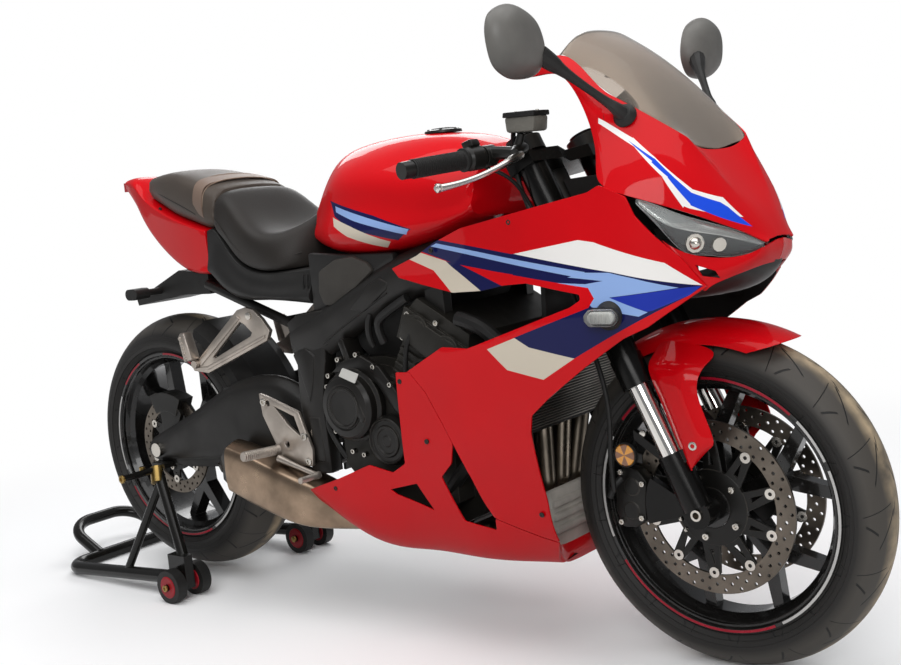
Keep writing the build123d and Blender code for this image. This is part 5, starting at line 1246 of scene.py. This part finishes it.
LIP = (         # right half of the belly's front edge, as rows of places
    (None, ((1190, -181, 252), (1182, -159, 226), (1166, -130, 198))),
    (None, ((1174, -151, 232), (1170, -135, 206), (1160, -109, 182))),
    (None, ((1158, -108, 214), (1158, -98, 192), (1150, -80, 173))),
    (None, ((1150, -50, 208), (1151, -46, 188), (1144, -40, 168))),
    (None, ((1148, 0, 207), (1150, 0, 187), (1142, 0, 167))),
)
lip_rows = LIP + tuple((None, tuple((ahead, -side, up) for ahead, side, up in row)) for _, row in LIP[-2::-1])
fit(smooth_skin(loft(lip_rows), "belly_lip", plain_red, PANEL_WALL), "chassis", "red_paint")
SCREWS = (      # place, direction
    ((942, -214, 422), (0, -1, 0)), ((1182, -213, 824), (0, -1, 0.2)), ((990, -203, 782), (0, -1, 0)),
    ((1395, -214, 690), (0.2, -1, 0)), ((884, -208, 535), (0, -1, 0)), ((1188, -203, 300), (0, -1, -0.3)),
    ((60, -82, 905), (0, -1, 0.2)),
)
made = bmesh.new()
for place, direction in SCREWS:
    bolt(made, place, direction, 5, 3)
made = twin(made)
bolt(made, (668, -199, 305), (0, -1, -0.2), 5, 3)       # on the right alone, for the side stand's gap is on the left
mount(made, "panel_screws", cover_black, "chassis", "trim_black")

# ---------------------------------------------------------------- upper cowl and screen
# The nose shell is moulded ABS in the same lacquer, with a white-edged blue flash on each side.
# The screen is smoke-tinted acrylic two and a half millimetres thick, screwed to the cowl's rebate.
COWL_SIDE = (
    (1176, ((146, 1092), (150, 1087), (153, 1080), (154, 1072))),
    (1232, ((147, 1095), (152, 1087), (157, 1078), (160, 1068))),
    (1287, ((146, 1094), (154, 1085), (161, 1074), (166, 1060))),
    (1330, ((142, 1050), (156, 1036), (166, 1018), (172, 994))),
    (1352, ((140, 1028), (158, 1004), (174, 966), (184, 926))),
    (1366, ((139, 1018), (163, 975), (185, 928), (203, 878))),
    (1420, ((132, 984), (160, 934), (184, 888), (196, 851))),
    (1480, ((106, 938), (130, 905), (149, 865), (157, 823))),
)
COWL_NOSE = (
    (1480, ((0, 914), (66, 919), (106, 938), (130, 905), (149, 865), (157, 823))),
    (1530, ((0, 846), (44, 849), (66, 851), (88, 843), (108, 828), (118, 796))),
    (1560, ((0, 802), (24, 802), (42, 800), (58, 794), (70, 784), (78, 774))),
    (1581, ((0, 762), (10, 762), (20, 761), (32, 760), (42, 759), (52, 757))),
)
FLASH_WHITE, FLASH_BLUE = "f4f2ef", "1d4fe0"
FLASH = (
    (FLASH_WHITE, [(1352, 984), (1410, 945), (1420, 934), (1417, 929), (1353, 975)]),
    (FLASH_WHITE, [(1410, 946), (1447, 910), (1466, 888), (1462, 876), (1416, 929)]),
    (FLASH_WHITE, [(1446, 911), (1498, 854), (1488, 825), (1461, 876)]),
    (FLASH_WHITE, [(1497, 854), (1532, 835), (1540, 822), (1568, 778), (1496, 823), (1486, 827)]),
    (FLASH_BLUE, [(1394, 950), (1448, 907), (1444, 902), (1416, 930)]),
    (FLASH_BLUE, [(1447, 908), (1472, 879), (1468, 876), (1443, 903)]),
    (FLASH_BLUE, [(1471, 880), (1497, 849), (1502, 840), (1498, 828), (1467, 876)]),
    (FLASH_BLUE, [(1496, 849), (1531, 828), (1539, 819), (1563, 783), (1497, 828)]),
)


def across(made, weld=0.0):
    """Adds the left half to a right half that ends on the middle plane."""
    bmesh.ops.mirror(made, geom=made.verts[:] + made.edges[:] + made.faces[:], axis="Y", merge_dist=0.0004)
    if weld:
        bmesh.ops.remove_doubles(made, verts=made.verts[:], dist=weld)
    bmesh.ops.recalc_face_normals(made, faces=made.faces[:])
    return made


# The same lacquer, with the flash in white and blue under it.
cowl_red = lacquered("flashed_cowl_lacquer", RED, FLASH)
made = loft(on_right(COWL_SIDE), creases=((0, 0.8),))
loft(on_right(COWL_NOSE), made=made, creases=((2, 0.5),))
fit(smooth_skin(across(made, 0.0006), "nose_shell", cowl_red, PANEL_WALL, bare=moulded_black),
    "chassis", "red_paint", "upper_cowl")

SCREEN = (
    (1272, ((0, 1143), (60, 1139), (112, 1121), (144, 1098))),
    (1287, ((0, 1133), (60, 1129), (112, 1113), (145, 1096))),
    (1349, ((0, 1092), (60, 1086), (112, 1064), (140, 1032))),
    (1420, ((0, 1012), (56, 1009), (102, 1003), (131, 986))),
    (1478, ((0, 916), (40, 919), (78, 925), (102, 937))),
)


def clear_finish(name, tint, through, roughness=0.03):
    """Clear moulded plastic: it passes most light straight through, tinted, and mirrors more at a low angle."""
    material, tree = emptied(bpy.data.materials.new(name))
    place = add_node(tree, "TexCoord").outputs["Object"]
    slow = add_node(tree, "TexNoise", {"Scale": 1000 / 80}, {"Vector": place}).outputs["Fac"]
    passed = add_node(tree, "Mix", {"data_type": "RGBA", 6: linear(tint), 7: linear(through)}, {0: slow}).outputs[2]
    clear = add_node(tree, "BsdfTransparent", {}, {"Color": passed})
    gloss = add_node(tree, "BsdfPrincipled", {"Base Color": linear(tint), "Roughness": roughness})
    turned = add_node(tree, "Fresnel", {"IOR": 1.49})
    share = add_node(tree, "MapRange", {"To Min": 0.04, "To Max": 1.0}, {"Value": turned})
    shown = add_node(tree, "MixShader", {}, {0: share, 1: clear, 2: gloss})
    add_node(tree, "OutputMaterial", {}, {"Surface": shown})
    return material


# Smoked acrylic darkens what is behind it a little and mirrors the room along its curve.
smoked = clear_finish("smoked_acrylic", "d8d1ca", "e2dbd3")
fit(smooth_skin(across(loft(on_right(SCREEN))), "screen", smoked, 2.5), "chassis", "screen_glass", "windscreen")
# The screen's flame-polished edge gathers light, so it is drawn as a pale bead: a painted highlight.
edge_highlight = finish("polished_acrylic_edge_highlight", "b9bdbd", 0.12, grain=2.0, relief=0.005, deep=0.85)
rim_line = [(1271, -145, 1097), (1271, -112, 1121), (1271, -60, 1139.5), (1271, 0, 1143)]
rim_line += [(ahead, -side, up) for ahead, side, up in rim_line[-2::-1]]
mount(hose(rim_line, 1.8), "screen_edge", edge_highlight, "chassis", "screen_glass")

# ---------------------------------------------------------------- nose: lamps, jaw, chin, inner panel
# Each head lamp is a clear polycarbonate cover over a gloss black bowl, with a bright strip along its
# top edge and a small chromed projector. The jaw below is a red lacquered moulding, the chin moulded black.
COVER = (
    (1428, ((190, 846), (194, 841), (192, 835))), (1455, ((171, 832), (178, 812), (171, 794))),
    (1482, ((151, 815), (158, 787), (149, 753))), (1510, ((124, 800), (134, 778), (120, 744))),
    (1538, ((99, 786), (107, 765), (93, 737))), (1576, ((50, 760), (58, 753), (53, 745))),
)
STRIP = (
    (1430, ((187, 844), (190, 840), (188, 836))), (1455, ((168, 830), (174, 816), (175, 808))),
    (1482, ((148, 813), (154, 799), (155, 791))), (1510, ((122, 798), (130, 787), (131, 781))),
    (1538, ((97, 784), (103, 776), (104, 771))), (1572, ((52, 758), (56, 755), (57, 752))),
)
BOWL = (
    (1432, ((180, 842), (182, 838), (180, 832), (166, 836))), (1482, ((143, 810), (146, 786), (140, 757), (100, 764))),
    (1538, ((90, 782), (95, 764), (87, 742), (56, 756))), (1570, ((48, 757), (51, 753), (49, 747), (38, 752))),
)
# Polycarbonate is water-clear and glossy.
clear_cover = clear_finish("clear_polycarbonate", "eef0f0", "f4f5f5")
# The bowl is moulded in polished tools, so its black is a dark mirror.
gloss_black = finish("gloss_black_bowl", "0d0c0c", 0.12, grain=3.0, relief=0.01, round_edge=1.0)
# Vacuum-coated aluminium, silvery and finely fluted along the strip.
bright_strip = finish("aluminised_reflector", "d8d6d2", 0.22, metallic=0.75, grain=4.0, relief=0.05, deep=0.85,
                      stretch=(6, 1, 1))
fit(both_sides(smooth_skin(loft(on_right(COVER)), "lamp_covers", clear_cover, 2.0, levels=2)),
    "chassis", "lamp_glass", "head_lamps")
fit(both_sides(smooth_form(loft(on_right(BOWL), ring=True, caps=0.5), "lamp_bowls", gloss_black, levels=2)),
    "chassis", "trim_black")
fit(both_sides(smooth_skin(loft(on_right(STRIP)), "lamp_strips", bright_strip, 1.0, levels=2)),
    "chassis", "lever_silver")
made = hose([(1478, -122, 770), (1490, -133, 768), (1500, -142, 766)], 15, radii=[15, 15, 16])
hose([(1498, -140, 766), (1504, -145, 765), (1507, -148, 764)], 12, made, radii=[12, 10, 3])
hose([(1514, -104, 764), (1524, -112, 762), (1531, -118, 760)], 11, made, radii=[11, 11, 12])
mount(twin(made), "lamp_projectors", plated_steel, "chassis", "lever_silver")

JAW = (         # right half, as rows of places from the tip back
    (None, ((1586, 0, 757), (1585, 0, 740), (1577, 0, 722))),
    (None, ((1581, -30, 753), (1580, -30, 736), (1573, -28, 719))),
    (None, ((1575, -59, 747), (1573, -59, 731), (1564, -54, 716))),
    (None, ((1541, -96, 737), (1545, -98, 721), (1536, -101, 704))),
    (None, ((1484, -150, 752), (1500, -142, 722), (1514, -131, 693))),
    (None, ((1454, -168, 776), (1478, -156, 738), (1502, -136, 690))),
)
jaw = smooth_skin(loft(JAW), "nose_jaw", plain_red, PANEL_WALL, levels=2)
trim(jaw, prism([(1497, 731), (1522, 718), (1527, 705), (1505, 712)], -100, -180), False)
fit(both_sides(jaw), "chassis", "red_paint")
CHIN = (
    (1374, ((0, 690), (84, 690), (142, 682), (115, 666), (0, 658))),
    (1420, ((0, 706), (80, 706), (140, 696), (112, 672), (0, 662))),
    (1500, ((0, 716), (74, 716), (116, 706), (84, 682), (0, 670))),
    (1550, ((0, 728), (48, 728), (66, 720), (46, 702), (0, 690))),
    (1576, ((0, 734), (14, 734), (20, 729), (12, 720), (0, 714))),
)
chin = loft(mirrored(CHIN), ring=True, caps=0.6, creases=((2, 0.8), (6, 0.8)))
fit(smooth_form(chin, "chin_moulding", moulded_black, levels=2), "chassis", "trim_black", "nose_chin")
INNER = (
    (None, ((1356, -150, 1004), (1358, -90, 1012), (1358, 0, 1016))),
    (None, ((1366, -172, 950), (1378, -100, 950), (1380, 0, 950))),
    (None, ((1376, -196, 872), (1392, -110, 870), (1396, 0, 870))),
    (None, ((1368, -204, 800), (1392, -110, 790), (1396, 0, 790))),
)
fit(smooth_skin(across(loft(INNER)), "inner_nose_panel", moulded_black, 2.5, levels=2), "chassis", "trim_black")

# ---------------------------------------------------------------- front fender
# Moulded in the same red lacquered plastic, with legs down to the fork, each held by a flanged bolt.
# It is swept round the wheel's axle, and its ends are cut to a point in front and square behind.
CROWN = [(-69, 287), (-67, 300), (-58, 311), (-40, 318), (-20, 322), (0, 324)]      # side, radius
FENDER_OUTLINE = [(1292, 700), (1292, 556), (1371, 560), (1471, 559), (1531, 571), (1606, 590), (1606, 700)]
crown = turned(CROWN + [(-side, reach) for side, reach in CROWN[-2::-1]], FRONT_AXLE, 52, 122, 48, False)
crown = thicken(settle(make_piece(crown, "fender_shell", plain_red)), PANEL_WALL)
fit(trim(crown, prism(FENDER_OUTLINE, -90, 90, 2.0), True), "steering", "red_paint", "front_fender")
LEG = (
    (None, ((1377, -66, 590), (1392, -67, 594), (1440, -67, 590), (1478, -66, 574))),
    (None, ((1371, -88, 570), (1392, -93, 572), (1440, -95, 568), (1472, -88, 556))),
    (None, ((1372, -106, 550), (1394, -114, 548), (1438, -115, 544), (1466, -106, 534))),
    (None, ((1388, -108, 505), (1408, -119, 504), (1442, -120, 502), (1466, -108, 498))),
    (None, ((1416, -109, 432), (1434, -119, 432), (1464, -120, 434), (1488, -110, 436))),
    (None, ((1428, -110, 404), (1440, -118, 404), (1462, -119, 408), (1478, -110, 415))),
    (None, ((1442, -112, 378), (1445, -116, 380), (1449, -116, 383), (1452, -112, 387))),
)
fit(both_sides(smooth_skin(loft(LEG, creases=((1, 0.5), (2, 0.5))), "fender_legs", plain_red, PANEL_WALL, levels=2)),
    "steering", "red_paint")
made = bmesh.new()
bolt(made, (1454, -117, 422), (0.1, -1, 0), 8, 5)
bolt(made, (1352, -108, 436), (0.1, -1, 0), 6, 5)
mount(twin(made), "fender_bolts", plated_steel, "steering", "axle_steel")

# ---------------------------------------------------------------- mirrors and front signals
# Mirror shells of grained grey-black plastic on slim stalks with rubber boots.
# The signals are clear lenses with a ribbed white reflector, standing on the side panels.
MIRROR = ((-374, 1124), (-362, 1156), (-318, 1172), (-262, 1150), (-241, 1100), (-262, 1062), (-318, 1056),
          (-362, 1078))         # side, height round its rim
MIDDLE = (-308, 1112)
MIRROR_DEPTHS = ((1288.5, 0.94), (1290, 1.0), (1298, 1.01), (1308, 0.95), (1318, 0.8), (1325, 0.56), (1328, 0.25))


def mirror_ring(share):
    """The mirror's outline, drawn in towards its middle."""
    return [(MIDDLE[0] + (side - MIDDLE[0]) * share, MIDDLE[1] + (up - MIDDLE[1]) * share) for side, up in MIRROR]


# Weathered black nylon, gone grey, with a fine moulded grain.
mirror_grey = finish("grained_mirror_plastic", "6b6965", 0.42, grain=0.9, relief=0.05, round_edge=1.0, deep=0.8)
# Silvered glass is a plain mirror.
silvered = finish("silvered_glass", "c9cdd0", 0.03, metallic=1.0, relief=0.0, deep=0.95)
made = loft([(ahead, mirror_ring(share)) for ahead, share in MIRROR_DEPTHS], ring=True, caps=0.3,
            creases=[(corner, 0.2) for corner in range(len(MIRROR))])
fit(both_sides(smooth_form(made, "mirror_shells", mirror_grey)), "chassis", "trim_black", "mirrors")
made = loft([(ahead, mirror_ring(0.9)) for ahead in (1287.2, 1289.5)], ring=True, caps=1.0)
fit(both_sides(settle(make_piece(made, "mirror_glasses", silvered))), "chassis", "lamp_glass")
made = hose([(1312, -262, 1092), (1322, -246, 1078), (1332, -232, 1064), (1356, -203, 1034), (1376, -176, 1008),
             (1388, -163, 994), (1391, -152, 985)], 9, radii=[16, 15, 9, 6.5, 7.5, 11, 14])
tube([(1391.5, -148, 982), (1392, -152, 984.5), (1392.5, -158, 987)], [21, 20, 14], made=made)
mount(twin(made), "mirror_stalks", moulded_black, "chassis", "trim_black")

SIGNAL = (1376, 660)


def slot_line(length, height):
    """Outline of a lens with cut corners round the signal's middle."""
    long, tall, cut = length / 2, height / 2, height * 0.32
    corners = ((-long, -tall + cut), (-long + cut, -tall), (long - cut, -tall), (long, -tall + cut))
    return [(SIGNAL[0] + a, SIGNAL[1] + b) for a, b in corners + tuple((-a, -b) for a, b in corners)]


# The reflector is white plastic, smooth and a little glossy.
lens_white = finish("white_reflector", "d9d7d2", 0.25, grain=2.0, relief=0.02, deep=0.85)
mount(twin(slab(slot_line(58, 28), -257, -240, 3)), "signal_lenses", clear_cover, "chassis", "signal_clear",
      "front_signals")
made = slab(slot_line(50, 20), -252, -241, 2)
for rib in range(6):
    near, far = 1356 + rib * 7, 1360 + rib * 7
    slab([(near, 652), (far, 652), (far, 668), (near, 668)], -254, -250, 0.8, made)
mount(twin(made), "signal_reflectors", lens_white, "chassis", "signal_clear")
made = slab(slot_line(62, 32), -243, -236, 2)
turned([(-222, 0.5), (-222, 26), (-226, 26), (-238, 17), (-240, 0.5)], SIGNAL, steps=32, ring=False, made=made)
mount(twin(made), "signal_boots", rubber_black, "chassis", "hose_black")

# ---------------------------------------------------------------- footrests, pedals and side stand
# Die-cast aluminium hangers and heel plates, bolted behind and below the beams, with folded passenger pegs
# and ribbed rider's pegs. The side stand is black enamelled steel.

# Bare die-casting is silvery, dull and slightly warm.
cast_silver = finish("cast_aluminium", "b8aea4", 0.36, metallic=0.85, grain=1.0, relief=0.05, round_edge=2.0)


def rounded(piece, edge):
    """Rounds a plate's sharp edges."""
    soft = piece.modifiers.new("round", "BEVEL")
    soft.width, soft.segments, soft.limit_method, soft.angle_limit = edge / 1000, 2, "ANGLE", radians(50)
    return settle(piece)


HANGER = [(352, 668), (378, 674), (405, 668), (430, 648), (452, 622), (440, 600), (230, 524), (180, 528), (170, 548),
          (205, 560)]
HANGER_WINDOW = [(358, 642), (372, 636), (394, 618), (388, 610), (262, 560), (252, 562)]
made = flat_plate([HANGER, HANGER_WINDOW], -126, -137)
for rib in ([(196, 548), (352, 656), (362, 650), (210, 541)],
            [(192, 536), (232, 532), (436, 606), (438, 614), (230, 540)]):
    flat_plate([rib], -137, -140, made)
fit(rounded(make_piece(twin(made), "cast_hangers", cast_silver), 2.0), "chassis", "foot_silver", "pillion_hangers")
made = slab([(176, 552), (164, 610), (172, 620), (186, 620), (206, 558)], -134, -161, 4)
for step in range(5):
    ahead, up = 185 - 3.1 * step, 560 + 12 * step
    tube([(ahead, -160.5, up), (ahead, -164, up)], [4, 3], 12, made)
tube([(192, -138, 545), (192, -146, 545)], [11, 9], 20, made)
mount(twin(made), "folded_pegs", cast_silver, "chassis", "foot_silver")
HEEL_PLATE = [(427, 489), (460, 480), (545, 452), (576, 372), (572, 336), (540, 336), (478, 352), (432, 440)]
HEEL_WINDOW = [(470, 462), (530, 442), (546, 398), (512, 420)]
made = flat_plate([HEEL_PLATE, HEEL_WINDOW, circle_line((452, 468), 6), circle_line((500, 380), 7)], -158, -167)
fit(rounded(make_piece(twin(made), "foot_plates", cast_silver), 2.0), "chassis", "foot_silver", "foot_controls")
PEG_RIBS, FIRST_PEG_RIB, PEG_PITCH = 16, 176, 5.2
path, radii = [(468, -166, 366)], [13]
for rib in range(PEG_RIBS):
    start = FIRST_PEG_RIB + rib * PEG_PITCH
    for shift, radius in ((0, 9.5), (0.8, 11), (3.4, 11), (4.2, 9.5)):
        out = start + shift - 166
        path.append((468 - 0.04 * out, -(start + shift), 366 + 0.0625 * out))
        radii.append(radius)
made = tube(path + [(464, -262, 372)], radii + [10], 20)
hose([(480, -176, 350), (520, -177, 340), (560, -177, 330), (592, -177, 322)], 6, made, radii=[9, 6, 5, 6])
PEDAL_TOE = [(596, side, 322) for side in (-174, -184, -186, -228, -230)]
tube(PEDAL_TOE, [8, 8, 6.5, 7, 6], 18, made)
mount(twin(made), "pegs_and_pedals", cast_silver, "chassis", "foot_silver", sharp=45)
dress(bar_black, "side_stand")

# ---------------------------------------------------------------- paddock stand
# Bent steel tube under thick black enamel, on four rollers with red hubs, with a brass screw and a pad
# on each side where it takes the swingarm's spools.

# Stand enamel is dipped, so it is glossy and slightly uneven.
stand_black = finish("stand_enamel", "171614", 0.2, grain=4.0, relief=0.02, worn="4b4843")
# Brass turned on a lathe, dull gold.
brass = finish("turned_brass", "a58a52", 0.3, metallic=1.0, grain=0.8, relief=0.02, deep=0.7)
dress(stand_black, "paddock_stand")
dress(moulded_black, "stand_rollers_right", "stand_rollers_left")
ROLLER_AXLE, LEG_SIDE, ROLLER_OFFSET, ROLLER_HALF, BOLT_OFFSET = (134, 39), 205, 35.5, 13.3, 54
for side, body in ((-1, "rollers_right"), (1, "rollers_left")):
    made = bmesh.new()
    for centre in (LEG_SIDE - ROLLER_OFFSET, LEG_SIDE + ROLLER_OFFSET):
        for out in (-1, 1):
            near = side * centre + ROLLER_HALF * out
            turned([(near, 8), (near + 1.6 * out, 8.5), (near + 1.6 * out, 24), (near, 26)], ROLLER_AXLE, steps=32,
                   ring=False, made=made)
    # The hubs are moulded in red nylon, smooth and half glossy.
    hub_red = finish("red_hub_" + body, "a01422", 0.3, grain=1.5, deep=0.85)
    mount(made, "roller_hubs_" + body, hub_red, body, "stand_red")
made = bmesh.new()
for side in (-1, 1):
    for out in (-1, 1):
        bolt(made, (ROLLER_AXLE[0], side * LEG_SIDE + BOLT_OFFSET * out, ROLLER_AXLE[1]), (0, out, 0), 8, 5)
    bolt(made, (13, side * 252, 287), (0, side, 0), 10, 6)
for side in (-1, 1):
    tube([(28, side * 166, 258), (20, side * 159, 276), (13, side * 153, 292)], [16, 16, 15], made=made)
tube([(0, -186, 300), (0, -186, 282)], [7, 7], made=made)
mount(made, "stand_adjusters", brass, "chassis", "stand_black")
